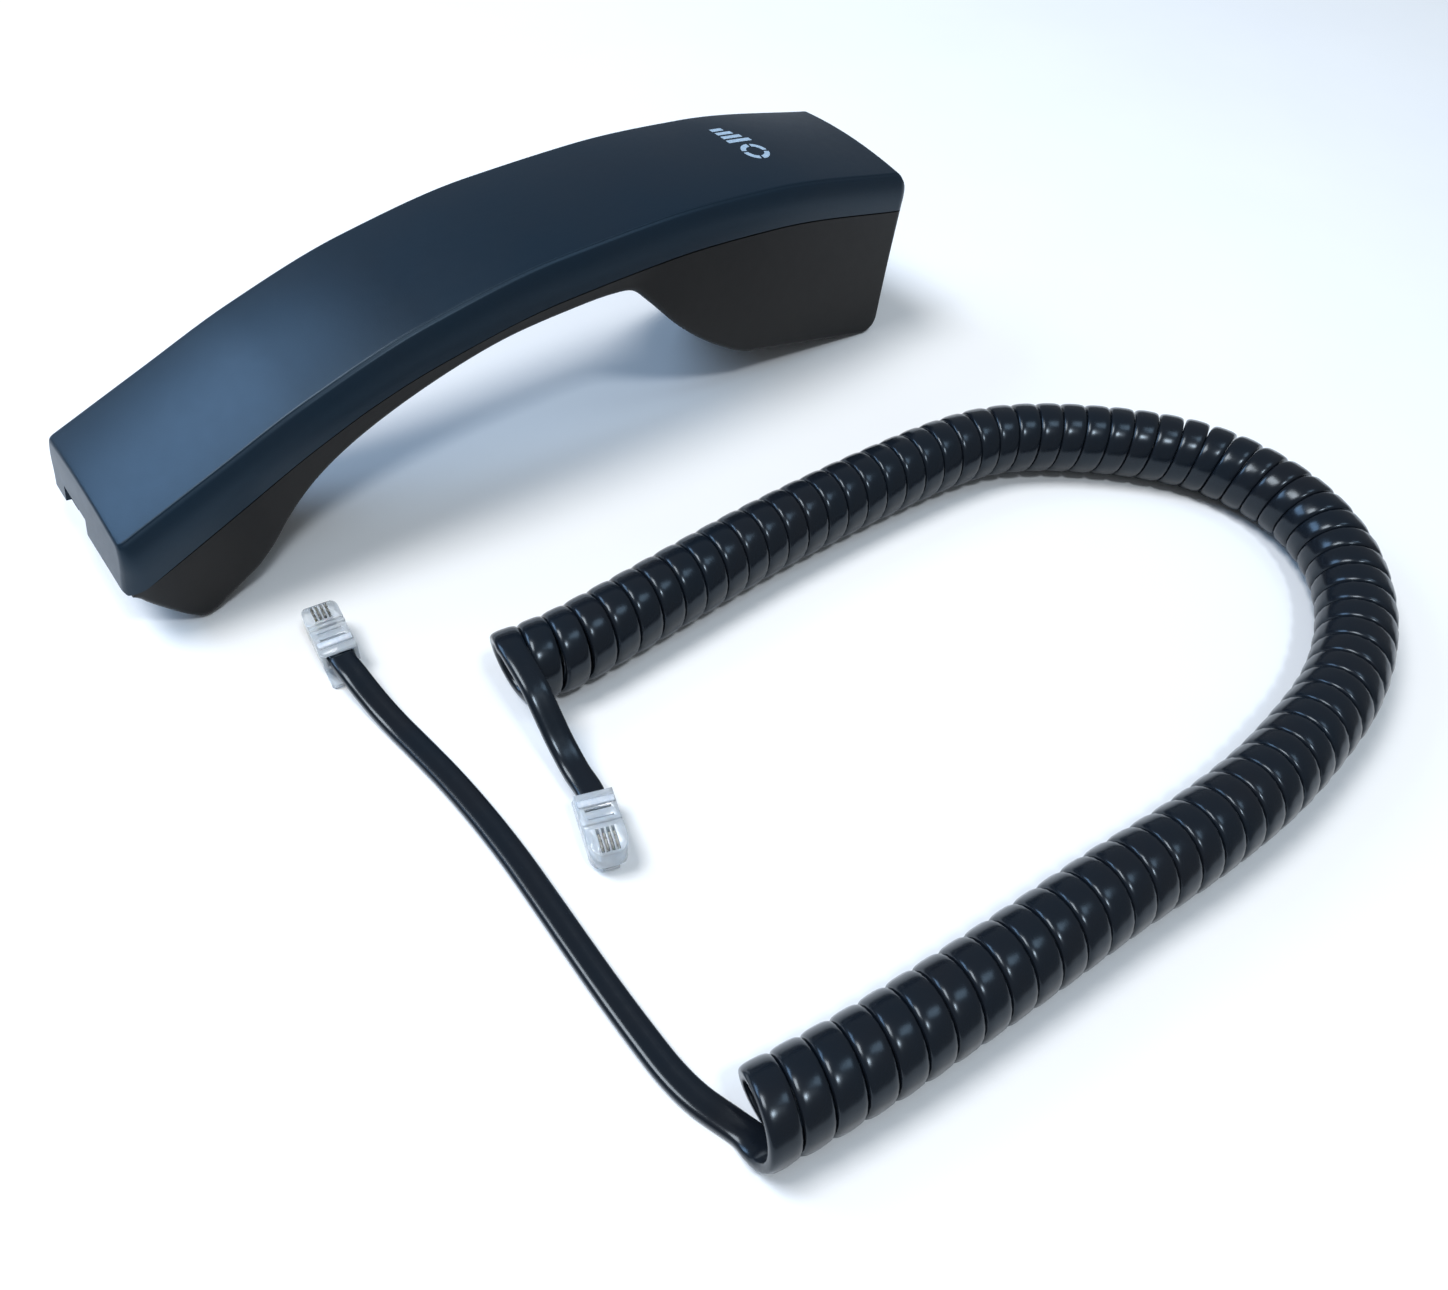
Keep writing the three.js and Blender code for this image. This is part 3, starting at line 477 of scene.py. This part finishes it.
def crimped_plastic():
    """Where the clear plastic was pressed onto the jacket it has turned milky."""
    look = Look("crimped_plastic", (0.72, 0.78, 0.86), roughness=0.3)
    look.tint(look.noise(1.0, detail=4), (0.90, 0.93, 0.97), start=0.35, end=0.65)
    look.wear(look.noise(0.7, detail=3), 0.5)
    look.relief(look.noise(0.6, detail=3), depth=0.05)
    return look.put(Transmission_Weight=0.35, IOR=1.5).material


def metal(name, color, other, roughness, grain, stretch=(1, 1, 1)):
    look = Look(name, color, roughness, metallic=1.0)
    look.tint(look.noise(2.0, detail=3, stretch=stretch), other, start=0.3, end=0.75)
    look.wear(look.noise(grain, detail=4, stretch=stretch), roughness + 0.2, start=0.4, end=0.8)
    look.relief(look.noise(grain * 0.5, detail=3, stretch=stretch), depth=0.006)
    return look.material


def plain(name, color, other, roughness, grain, depth):
    """Inner parts: mottled colour, uneven sheen and a surface grain."""
    look = Look(name, color, roughness)
    look.tint(look.noise(grain * 6, detail=3), other, start=0.3, end=0.7)
    look.wear(look.noise(grain * 3, detail=3), min(roughness + 0.15, 1.0))
    look.relief(look.noise(grain, detail=3), depth)
    return look.material


def woven(name, color, other, thread):
    """A plain weave of crossing threads, a thread's width in millimetres, for the dust cloths."""
    look = Look(name, color, roughness=0.9)
    waves = []
    for direction in ("X", "Y"):
        wave = look.nodes.new("ShaderNodeTexWave")
        wave.bands_direction = direction
        wave.inputs["Scale"].default_value = 1 / (thread * MM * WAVE_TO_THREAD)
        wave.inputs["Distortion"].default_value = 0.6
        look.links.new(look.place, wave.inputs["Vector"])
        waves.append(wave.outputs["Fac"])
    cross = look.nodes.new("ShaderNodeMath")
    cross.operation = "MULTIPLY"
    look.links.new(waves[0], cross.inputs[0])
    look.links.new(waves[1], cross.inputs[1])
    look.tint(cross.outputs["Value"], other, start=0.1, end=0.8)
    look.relief(cross.outputs["Value"], depth=0.08)
    look.put(Sheen_Weight=0.3)
    return look.material


def circuit():
    """Green solder mask over darker and lighter copper runs."""
    dark_green = (0.012, 0.085, 0.035)
    look = Look("circuit", dark_green, roughness=0.32)
    cells = look.nodes.new("ShaderNodeTexBrick")
    cells.inputs["Scale"].default_value = 1 / (RUN_PATTERN * MM)
    cells.inputs["Mortar Size"].default_value = 0.03
    cells.inputs["Color1"].default_value = (*dark_green, 1)
    cells.inputs["Color2"].default_value = (0.016, 0.11, 0.05, 1)
    cells.inputs["Mortar"].default_value = (0.05, 0.2, 0.09, 1)
    look.links.new(look.place, cells.inputs["Vector"])
    look.links.new(cells.outputs["Color"], look.shader.inputs["Base Color"])
    look.relief(cells.outputs["Fac"], depth=0.03)
    look.wear(look.noise(2, detail=3), 0.5)
    return look.material


def print_ink():
    look = Look("print_ink", (0.40, 0.53, 0.66), roughness=0.45)
    look.tint(look.noise(0.5, detail=4), (0.25, 0.34, 0.43), start=0.35, end=0.7)
    look.relief(look.noise(0.3, detail=3), depth=0.01)
    return look.material


def floor_paper():
    look = Look("floor_paper", (0.93, 0.93, 0.925), roughness=0.7)
    look.tint(look.noise(60, detail=3), (0.91, 0.912, 0.915), start=0.3, end=0.7)
    look.relief(look.noise(0.8, detail=3), depth=0.02)
    return look.material


MATERIALS = {
    "back_plastic": back_plastic(),
    "front_plastic": front_plastic(),
    "black_plastic": black_plastic(),
    "cord_vinyl": cord_vinyl(),
    "clear_plastic": clear_plastic(),
    "contact_gold": metal("contact_gold", (0.92, 0.88, 0.78), (0.95, 0.93, 0.88),
                          roughness=0.24, grain=0.6),
    "steel": metal("steel", (0.56, 0.57, 0.59), (0.66, 0.66, 0.67),
                   roughness=0.28, grain=0.5, stretch=(1, 6, 1)),
    "dark_steel": metal("dark_steel", (0.12, 0.125, 0.135), (0.17, 0.17, 0.18),
                        roughness=0.42, grain=0.7),
    "magnet": metal("magnet", (0.50, 0.51, 0.53), (0.58, 0.58, 0.60),
                    roughness=0.22, grain=0.8),
    "film": plain("film", (0.55, 0.48, 0.33), (0.62, 0.55, 0.40),
                  roughness=0.28, grain=0.5, depth=0.01),
    "soft_rubber": plain("soft_rubber", (0.016, 0.016, 0.017), (0.024, 0.024, 0.025),
                         roughness=0.75, grain=0.3, depth=0.02),
    "foam": plain("foam", (0.024, 0.024, 0.026), (0.045, 0.045, 0.048),
                  roughness=0.95, grain=0.45, depth=0.15),
    "cloth": woven("cloth", (0.018, 0.018, 0.020), (0.045, 0.045, 0.050), thread=0.35),
    "circuit": circuit(),
    "wire_red": plain("wire_red", (0.36, 0.015, 0.015), (0.42, 0.03, 0.03),
                      roughness=0.35, grain=0.4, depth=0.01),
    "wire_black": plain("wire_black", (0.010, 0.010, 0.011), (0.018, 0.018, 0.018),
                        roughness=0.35, grain=0.4, depth=0.01),
    "wire_green": plain("wire_green", (0.012, 0.17, 0.04), (0.02, 0.21, 0.06),
                        roughness=0.35, grain=0.4, depth=0.01),
    "wire_yellow": plain("wire_yellow", (0.56, 0.38, 0.03), (0.62, 0.44, 0.06),
                         roughness=0.35, grain=0.4, depth=0.01),
}


def finish(obj, slot, body, material=None):
    """Gives a piece the material of its slot, or the one given, and lets it ride on its body."""
    obj.data.materials.clear()
    obj.data.materials.append(material or MATERIALS[slot])
    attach(obj, body)
    return obj


# ---- Camera, floor and light ----------------------------------------------------------------------
def make_camera():
    data = bpy.data.cameras.new("camera")
    data.lens = CAMERA_LENS
    data.sensor_width = SENSOR_WIDTH
    camera = bpy.data.objects.new("camera", data)
    view = Vector(CAMERA_VIEW).normalized()
    level = view.cross(UP).normalized()
    above = level.cross(view)
    roll = math.radians(CAMERA_ROLL)
    right = level * math.cos(roll) + above * math.sin(roll)
    top = above * math.cos(roll) - level * math.sin(roll)
    turn = Matrix((right, top, -view)).transposed().to_4x4()
    camera.matrix_world = Matrix.Translation(Vector(CAMERA_PLACE) * MM) @ turn
    bpy.context.scene.collection.objects.link(camera)
    bpy.context.scene.camera = camera


def area_light(name, position, target, size, power, color):
    data = bpy.data.lights.new(name, "AREA")
    data.shape = "RECTANGLE"
    data.size, data.size_y = size
    data.energy = power
    data.color = color
    lamp = bpy.data.objects.new(name, data)
    lamp.location = position
    lamp.rotation_euler = (Vector(target) - Vector(position)).to_track_quat("-Z", "Y").to_euler()
    bpy.context.scene.collection.objects.link(lamp)


def make_stage():
    corners = [(x * FLOOR_REACH, y * FLOOR_REACH, 0) for x, y in ((-1, -1), (1, -1), (1, 1), (-1, 1))]
    floor = new_object("floor", corners, [(0, 1, 2, 3)])
    floor.location.z = -FLOOR_DROP
    floor.data.materials.append(floor_paper())
    world = bpy.data.worlds.new("world")
    world.use_nodes = True
    sky = world.node_tree.nodes["Background"]
    sky.inputs["Color"].default_value = (*SKY_COLOR, 1)
    sky.inputs["Strength"].default_value = SKY_STRENGTH
    bpy.context.scene.world = world
    bpy.context.scene.view_settings.view_transform = "Standard"
    area_light("window", position=(-0.50, 0.72, 0.72), target=(-0.10, 0, 0.03), size=(0.60, 0.40),
               power=6.6, color=(0.42, 0.66, 1.0))
    area_light("ceiling", position=(-0.42, 0.20, 1.15), target=(-0.05, 0, 0), size=(0.50, 0.45),
               power=11, color=(0.97, 0.98, 1.0))
    area_light("lamp", position=(-0.07, -0.56, 0.98), target=(0.02, -0.10, 0), size=(0.14, 0.14),
               power=3.4, color=(0.84, 0.92, 1.0))
    area_light("side", position=(0.42, -0.36, 1.05), target=(-0.05, -0.09, 0), size=(0.30, 0.30),
               power=1.3, color=(0.60, 0.80, 1.0))


# ---- Curly cord -------------------------------------------------------------------------------------
def resample(line, count):
    """The line as count + 1 points at equal steps along it."""
    lengths = [0.0]
    for p, q in zip(line, line[1:]):
        lengths.append(lengths[-1] + (q - p).length)
    points = []
    k = 0
    for i in range(count + 1):
        wanted = lengths[-1] * i / count
        while k < len(line) - 2 and lengths[k + 1] < wanted:
            k += 1
        t = (wanted - lengths[k]) / (lengths[k + 1] - lengths[k])
        points.append(line[k].lerp(line[k + 1], clamp(t, 0, 1)))
    return points


def coil_turns():
    """Centre, outward direction and half width of the ribbon along the coil."""
    axis = curve_through([(x, y, COIL_RADIUS) for x, y in COIL_ROUTE], spacing=1.0)
    length = sum((q - p).length for p, q in zip(axis, axis[1:]))
    margin = (COIL_WIDTH / 2 + TURN_GAP) / length
    fine = resample(axis, AXIS_STEPS)
    count = round(COIL_TURNS * STEPS_PER_TURN)
    mean_radius = COIL_RADIUS - RIBBON_THICKNESS / 2
    pitch = length * (1 - 2 * margin) / COIL_TURNS
    turns = []
    for i in range(count + 1):
        share = mix(margin, 1 - margin, i / count)
        k = clamp(round(share * AXIS_STEPS), BEND_REACH, AXIS_STEPS - BEND_REACH)
        behind, ahead = fine[k - BEND_REACH], fine[k + BEND_REACH]
        along = (ahead - behind).normalized()
        before = (fine[k] - behind).normalized()
        after = (ahead - fine[k]).normalized()
        bend = (after - before) / ((ahead - behind).length / 2)
        left = UP.cross(along)
        angle = -math.pi / 2 - 2 * math.pi * i / STEPS_PER_TURN
        outward = left * math.cos(angle) + UP * math.sin(angle)
        low = math.floor(share * AXIS_STEPS)
        middle = fine[low].lerp(fine[min(low + 1, AXIS_STEPS)], share * AXIS_STEPS - low)
        local_pitch = pitch * (1 - bend.dot(outward) * mean_radius)
        half = min(COIL_WIDTH, local_pitch - TURN_GAP) / 2
        turns.append((middle + outward * mean_radius, outward, half))
    return turns


def ribbon_section():
    """The ribbon's outline for half width 1 and half thickness 1, with soft corners."""
    outline = []
    across_power, out_power = SECTION_POWERS
    for i in range(SECTION_POINTS):
        angle = 2 * math.pi * (i + 0.5) / SECTION_POINTS
        across = math.copysign(abs(math.cos(angle)) ** across_power, math.cos(angle))
        out = math.copysign(abs(math.sin(angle)) ** out_power, math.sin(angle))
        outline.append((across, out))
    return outline


def plug_frame(name):
    """A plug's place in millimetres, with X from its cord entry to its nose."""
    x, y, heading = PLUGS[name]
    return Matrix.Translation(Vector((x, y, 0))) @ Matrix.Rotation(math.radians(heading), 4, "Z")


def cord_line():
    """Every ring of the cord from inside plug a to inside plug b."""
    turns = coil_turns()
    half = RIBBON_WIDTH / 2
    inside_a = plug_frame("a") @ Vector((JACKET_REACH, 0, CORD_HEIGHT_IN_PLUG))
    inside_b = plug_frame("b") @ Vector((JACKET_REACH, 0, CORD_HEIGHT_IN_PLUG))
    tail_a = curve_through([inside_a, *TAIL_A_ROUTE, turns[0][0], turns[3][0]], TAIL_A_STEP)
    tail_b = curve_through([turns[-4][0], turns[-1][0], *TAIL_B_ROUTE, inside_b], TAIL_B_STEP)
    start = min(range(len(tail_a)), key=lambda k: (tail_a[k] - turns[0][0]).length)
    finish_at = min(range(len(tail_b)), key=lambda k: (tail_b[k] - turns[-1][0]).length)
    rows = [(p, -UP, half, GROOVE) for p in tail_a[:start]]
    rows += [(*turn, 0.0) for turn in turns]
    rows += [(p, UP, half, TAIL_B_GROOVE) for p in tail_b[finish_at + 1:]]
    return rows


def make_cord():
    """The whole cord as one grooved ribbon, and its middle line in metres."""
    rows = cord_line()
    outline = ribbon_section()
    rings = []
    for i, (middle, outward, half, groove) in enumerate(rows):
        before = rows[max(i - 1, 0)][0]
        after = rows[min(i + 1, len(rows) - 1)][0]
        along = (after - before).normalized()
        across = along.cross(outward).normalized()
        out = across.cross(along)
        rings.append([])
        for u, v in outline:
            dip = groove * math.exp(-((abs(u) - GROOVE_PLACE) / GROOVE_SPREAD) ** 2)
            thick = (1 - dip) * RIBBON_THICKNESS / 2
            rings[-1].append(middle + across * (u * half) + out * (v * thick))
    cord = new_object("curly_cord", *sweep(rings))
    shade(cord, sharp_above=60)
    finish(cord, "cord_vinyl", "cord")
    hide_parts("cord_coil", "cord_tail_a", "cord_tail_b")
    return cord, [middle * MM for middle, *_ in rows]


# ---- Modular plugs -----------------------------------------------------------------------------------
def contact_y(i):
    """Y of a contact slot or a core, from the plug's middle."""
    return (i - 1.5) * CONTACT_PITCH


def plug_solid(name, outline, half_width):
    """A side outline in XZ given width along Y."""
    count = len(outline)
    vertices = [(x, side * half_width, z) for side in (-1, 1) for x, z in outline]
    faces = [tuple(range(count)), tuple(range(2 * count - 1, count - 1, -1))]
    for i in range(count):
        j = (i + 1) % count
        faces.append((i, j, count + j, count + i))
    return new_object(name, vertices, faces)


def rounded_nose():
    """An upright prism as wide as a plug, with a nose that is round from above."""
    plan = [(NOSE_CUT_BACK, -PLUG_HALF_WIDTH), (NOSE_CUT_BACK, PLUG_HALF_WIDTH)]
    for i in range(NOSE_STEPS + 1):
        angle = math.pi / 2 * (1 - i / NOSE_STEPS)
        plan.append((PLUG_LENGTH - NOSE_RADIUS * (1 - math.cos(angle)),
                     PLUG_HALF_WIDTH - NOSE_RADIUS * (1 - math.sin(angle))))
    plan += [(x, -y) for x, y in reversed(plan[2:])]
    return new_object("cut", *sweep([[Vector((x, y, z)) for x, y in plan] for z in NOSE_CUT_HEIGHTS]))


def plug_shell(name, place):
    """The clear body, hollow for the cord, with its comb of contact slots and its rounded nose."""
    body = plug_solid(f"plug_{name}_shell", PLUG_OUTLINE, PLUG_HALF_WIDTH)
    cutters = [box_cutter(low, high) for low, high in PLUG_HOLLOWS]
    (x0, z0), (x1, z1) = CONTACT_SLOT
    half = CONTACT_SLOT_HALF_WIDTH
    for i in range(CONTACTS):
        y = contact_y(i)
        cutters.append(box_cutter((x0, y - half, z0), (x1, y + half, z1)))
    bpy.context.view_layer.update()
    carve(body, [rounded_nose()], "INTERSECT")
    carve(body, cutters)
    bevel(body, PLUG_EDGE)
    shade(body, sharp_above=30)
    body.matrix_world = place
    finish(body, "clear_plastic", "cord")
    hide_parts(f"plug_{name}_body")
    return body


def crimp_bar(name, place, material):
    """The bar that was pressed down onto the cord's jacket."""
    bar = plug_solid(f"plug_{name}_crimp_bar", CRIMP_BAR_OUTLINE, PLUG_HALF_WIDTH - CRIMP_BAR_INSET)
    bevel(bar, CRIMP_BAR_EDGE)
    shade(bar, sharp_above=30)
    bar.matrix_world = place
    return finish(bar, "clear_plastic", "cord", material)


def plug_core(name, place, i, slot):
    """One of the four insulated cores that run from the jacket to the contacts."""
    y = contact_y(i)
    points = curve_through([(x, y * share, z) for x, share, z in CORE_ROUTE], spacing=0.5)
    angles = [math.pi * k / 5 for k in range(10)]
    rings = [[p + Vector((0, CORE_RADIUS * math.cos(a), CORE_RADIUS * math.sin(a))) for a in angles]
             for p in points]
    wire = new_object(f"plug_{name}_conductor_{i + 1}", *sweep(rings))
    shade(wire, sharp_above=50)
    wire.matrix_world = place
    return finish(wire, slot, "cord")


def make_plug(name, crimp_material):
    place = plug_frame(name)
    place.translation *= MM
    pieces = [plug_shell(name, place), crimp_bar(name, place, crimp_material)]
    for i, slot in enumerate(CORE_COLORS):
        pieces.append(plug_core(name, place, i, slot))
    return pieces


# ---- Handset shells ------------------------------------------------------------------------------------
def facet_points(facet, parts):
    """Points along a cup's flat face, from its mouth end to its ear end."""
    lean = math.radians(facet["tilt"])
    points = []
    for i in range(parts + 1):
        reach = mix(-facet["reach"], facet["reach"], i / parts)
        points.append((facet["x"] + reach * math.cos(lean), facet["z"] - reach * math.sin(lean)))
    return points


def underside():
    """The lower outline as a dense line of (x, z), with softly rounded turns."""
    corners = [*CHIN, *facet_points(MOUTH, parts=4), *GRIP, *facet_points(EAR, parts=10), *TOE]
    line = curve_through([(x, 0, z) for x, z in corners], spacing=1.2)
    return [(p.x, p.z) for p in line]


def leaning(x):
    """Where on the back the station that starts at x on the underside ends."""
    return x + LEAN + LEAN_GROWTH * x / LEAN_SPAN


def stations():
    """Pairs of a lower point and the back's edge point above it, denser at the two ends."""
    line = underside()
    (x0, z0), (x1, z1) = line[:2]
    first = [(mix(x0, x1, t), mix(z0, z1, t)) for t in FIRST_STATIONS]
    pairs = []
    rim_x = END_X - END_RIM[0]
    squeeze_x = rim_x - RIM_SQUEEZE
    for x, z in [*first, *line[1:]]:
        top_x = leaning(x)
        if x < CHIN[1][0]:
            share = (x - CHIN[0][0]) / (CHIN[1][0] - CHIN[0][0])
            top_x = mix(MOUTH_TOP_X, leaning(CHIN[1][0]), share)
        if top_x > squeeze_x:
            past = (top_x - squeeze_x) / (leaning(line[-1][0]) - squeeze_x)
            top_x = squeeze_x + RIM_SQUEEZE * past
        pairs.append(((x, z), (top_x, back_edge(top_x))))
    low_x, low_z = line[-1]
    for i in range(1, RIM_STATIONS + 1):
        angle = math.pi / 2 * i / RIM_STATIONS
        top_x = END_X - END_RIM[0] * (1 - math.sin(angle))
        top = (top_x, back_edge(top_x) - END_RIM[1] * (1 - math.cos(angle)))
        pairs.append(((low_x + TOE_STEP[0] * i, low_z + TOE_STEP[1] * i), top))
    return pairs


def rounding(radius, distance):
    """How far a rounded corner stands back at a distance from the end."""
    short = radius - clamp(distance, 0, radius)
    return radius - math.sqrt(radius ** 2 - short ** 2)


def half_width(x, depth):
    """Half of the case's width where the back's edge is at x, at a depth below that edge."""
    low = clamp(depth / EDGE_DEPTH, 0, 1)
    half = mix(MOUTH_WIDTH, EAR_WIDTH, (x + END_X) / (2 * END_X)) / 2
    half -= rounding(mix(*CORNER_MOUTH, low), x - MOUTH_TOP_X)
    half -= rounding(mix(*CORNER_EAR, low), END_X + EAR_CORNER_REACH - x)
    return half - EDGE_INSET * (1 - low) ** SIDE_SWEEP


def seam_along(low, high, height):
    """How far up a station the seam crosses it."""
    def above(up):
        x = mix(low[0], high[0], up / height)
        z = mix(low[1], high[1], up / height)
        return z - seam_height(x)
    if above(0) > 0:
        return 0.0
    bottom, top = 0.0, height
    for _ in range(SEAM_HALVINGS):
        middle = (bottom + top) / 2
        if above(middle) > 0:
            top = middle
        else:
            bottom = middle
    return bottom


def lower_corner(x, height, seam):
    """Radius of the front shell's long edges, which shrinks where the shell is shallow."""
    radius = mix(*LOWER_CORNER, (x + END_X) / (2 * END_X))
    return min(radius, max((height - BAND - 1) * 0.9, 1.1), max(seam * 0.8, 0.05))


def back_row(low, high, seam, height, drop):
    """One station of the back shell, as pairs of a distance from the middle and a height up the station."""
    start = seam + SEAM_GAP / 2 if seam > 0 else 0.0
    side = []
    for i in range(SIDE_STEPS + 1):
        up = mix(start, height - LEDGE - SIDE_END, 1 - (1 - i / SIDE_STEPS) ** SIDE_CROWDING)
        side.append((half_width(high[0], height - up + drop), up))
    crest = half_width(high[0], drop + CREST_DEPTH) - CREST_INSET
    side += [(crest + out, height + up) for out, up in LEDGE_PROFILE]
    edge, edge_up = side[-1]
    crown = CROWN * (1 - drop / END_RIM[1] * CROWN_FADE)
    top = []
    for i in range(1, TOP_STEPS + 1):
        y = edge * (1 - i / TOP_STEPS)
        top.append((y, edge_up + crown * (1 - (y / edge) ** 2)))
    return side + top


def front_row(low, high, seam, height):
    """One station of the front shell, from beside the middle round to the seam."""
    corner = lower_corner(low[0], height, seam)
    half = half_width(high[0], EDGE_DEPTH)
    flat = half - corner * (1 + CORNER_BLEND)
    row = [(flat * i / 4, 0.0) for i in range(1, 4)]
    for i in range(CORNER_STEPS + 1):
        angle = math.pi / 2 * i / CORNER_STEPS
        row.append((flat + corner * math.sin(angle), corner - corner * math.cos(angle)))
    end = max(seam - SEAM_GAP / 2, corner + 0.05)
    full = max(height - BAND, corner + 0.1)
    for i in range(1, WALL_STEPS + 1):
        up = mix(corner, end, i / WALL_STEPS)
        share = clamp((up - corner) / (full - corner), 0, 1)
        row.append((mix(half - corner * CORNER_BLEND, half, share), up))
    return row


def shell_rows():
    """Rows of points across the case: the back shell's and the front shell's."""
    back_rows, front_rows = [], []
    for low, high in stations():
        length = math.hypot(high[0] - low[0], high[1] - low[1])
        seam = seam_along(low, high, length)
        drop = max(back_edge(high[0]) - high[1], 0)
        height = length - rounding(MOUTH_RIM, high[0] - MOUTH_TOP_X)

        def at(y, up):
            share = up / length
            return Vector((mix(low[0], high[0], share), y, mix(low[1], high[1], share)))

        right = back_row(low, high, seam, height, drop)
        back_rows.append([at(y, up) for y, up in right] + [at(-y, up) for y, up in reversed(right[:-1])])
        if seam < SHALLOWEST_FRONT:
            continue
        right = front_row(low, high, seam, height)
        left = [at(-y, up) for y, up in reversed(right)]
        front_rows.append(left + [at(0, 0)] + [at(y, up) for y, up in right])
    return back_rows, front_rows


def wall(obj, thickness):
    """Gives an open skin its thickness, inwards."""
    modifier = obj.modifiers.new("wall", "SOLIDIFY")
    modifier.thickness = thickness * MM
    modifier.offset = -1
    return bake_modifiers(obj)


def facet_matrix(facet, y=0.0):
    """The place of a cup's face or a slot, in metres, with Z into the case."""
    place = Matrix.Translation(Vector((facet["x"], y, facet["z"])) * MM)
    return place @ Matrix.Rotation(math.radians(facet["tilt"]), 4, "Y")


def drill(place, points, radius, low, high, sides=20):
    """Round cutters square to a facet, at millimetre points on it."""
    drills = []
    angles = [2 * math.pi * k / sides for k in range(sides)]
    for x, y in points:
        ring = [(x + radius * math.cos(angle), y + radius * math.sin(angle)) for angle in angles]
        rings = [[Vector((u, v, z)) for u, v in ring] for z in (low, high)]
        tool = new_object("drill", *sweep(rings))
        tool.matrix_world = place
        drills.append(tool)
    return drills


def sound_holes(rows, pitch):
    """A hexagon of holes, with so many rows to either side of its middle one."""
    points = []
    for i in range(-rows, rows + 1):
        for j in range(-rows, rows + 1):
            if abs(i + j) <= rows:
                points.append((pitch * (i + j / 2), pitch * j * math.sin(math.pi / 3)))
    return points


def make_shells():
    back_rows, front_rows = shell_rows()
    back = new_object("handset_back", *strips(back_rows, True, True))
    wall(back, SKIN)
    carve(back, [box_cutter(*NOTCH)])
    shade(back, sharp_above=42)
    finish(back, "back_plastic", "handset")
    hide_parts("back_shell")

    front = new_object("handset_front", *strips(front_rows, False, True))
    wall(front, SKIN)
    ear_points = sound_holes(EAR_HOLES["rows"], EAR_HOLES["pitch"])
    cutters = drill(facet_matrix(EAR), ear_points, EAR_HOLES["radius"], *SOUND_DRILL)
    cutters += drill(facet_matrix(MOUTH, MIC_Y), MIC_HOLES["points"], MIC_HOLES["radius"], *SOUND_DRILL)
    for x, floor in CASE_SCREWS:
        place = Matrix.Translation(Vector((x, 0, floor)) * MM)
        cutters += drill(place, [(0, 0)], SCREW_HOLE_RADIUS, *SCREW_DRILL)
    cutters.append(box_cutter(*PLUG_OPENING))
    slot_size = Vector(HOOK_SLOT["half_size"])
    slot_cut = box_cutter(-slot_size, slot_size)
    slot_cut.matrix_world = facet_matrix(HOOK_SLOT)
    cutters.append(slot_cut)
    bpy.context.view_layer.update()
    carve(front, cutters)
    shade(front, sharp_above=42)
    finish(front, "front_plastic", "handset")
    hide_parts("front_shell")


# ---- Generic printed mark ---------------------------------------------------------------------------------
def back_surface(x, y):
    """A point just above the crowned back."""
    half = half_width(x, CREST_DEPTH) - CROWN_INSET
    return Vector((x, y, back_edge(x) + CROWN * (1 - (y / half) ** 2) + INK_HEIGHT))


def mark_bars():
    """Patches of a plain row of rising bars, each as its corners in X and Y."""
    patches = []
    step = MARK_BARS["patch"]
    for i in range(MARK_BARS["count"]):
        y = MARK_BARS["y"] - MARK_BARS["step"] * i
        far = y + MARK_BARS["width"]
        for k in range(MARK_BARS["shortest"] + i):
            x = MARK_BARS["x"] + step * k
            patches.append([(x, y), (x + step, y), (x + step, far), (x, far)])
    return patches


def mark_ring():
    """Patches of an open ring, with gaps at equal steps round it."""
    patches = []
    x, y = MARK_RING["x"], MARK_RING["y"]
    inner, outer, sides = MARK_RING["inner"], MARK_RING["outer"], MARK_RING["sides"]
    gap_every = MARK_RING["gap_every"]
    for k in range(sides):
        if k % gap_every == gap_every - 1:
            continue
        first, last = [2 * math.pi * (k + d) / sides for d in (0, 1)]
        corners = ((inner, first), (outer, first), (outer, last), (inner, last))
        patches.append([(x + r * math.cos(a), y + r * math.sin(a)) for r, a in corners])
    return patches


def make_mark():
    """A generic mark in pale ink, printed where the back has its mark."""
    vertices, faces = [], []
    for corners in mark_bars() + mark_ring():
        base = len(vertices)
        vertices.extend(back_surface(x, y) for x, y in corners)
        faces.append(tuple(range(base, base + len(corners))))
    mark = new_object("generic_mark", vertices, faces)
    finish(mark, "back_plastic", "handset", print_ink())


# ---- CAD nodes that stay as they are ---------------------------------------------------------------------
def dress_nodes():
    """Gives every CAD node the material of its slot."""
    for row in frame["record"]["subparts"]:
        node = frame["nodes"][row["node"]]
        slot = row["material_slot"]
        for material_slot in node.material_slots:
            material_slot.material = MATERIALS[slot]


make_camera()
cord, cord_path = make_cord()
make_stage()
crimped = crimped_plastic()
plug_pieces = make_plug("a", crimped) + make_plug("b", crimped)
make_shells()
make_mark()
dress_nodes()

on_cord = list(plug_pieces)
for plug_name in PLUGS:
    on_cord.append(frame["nodes"][f"plug_{plug_name}_latch"])
    on_cord += [frame["nodes"][f"plug_{plug_name}_contact_{i + 1}"] for i in range(CONTACTS)]
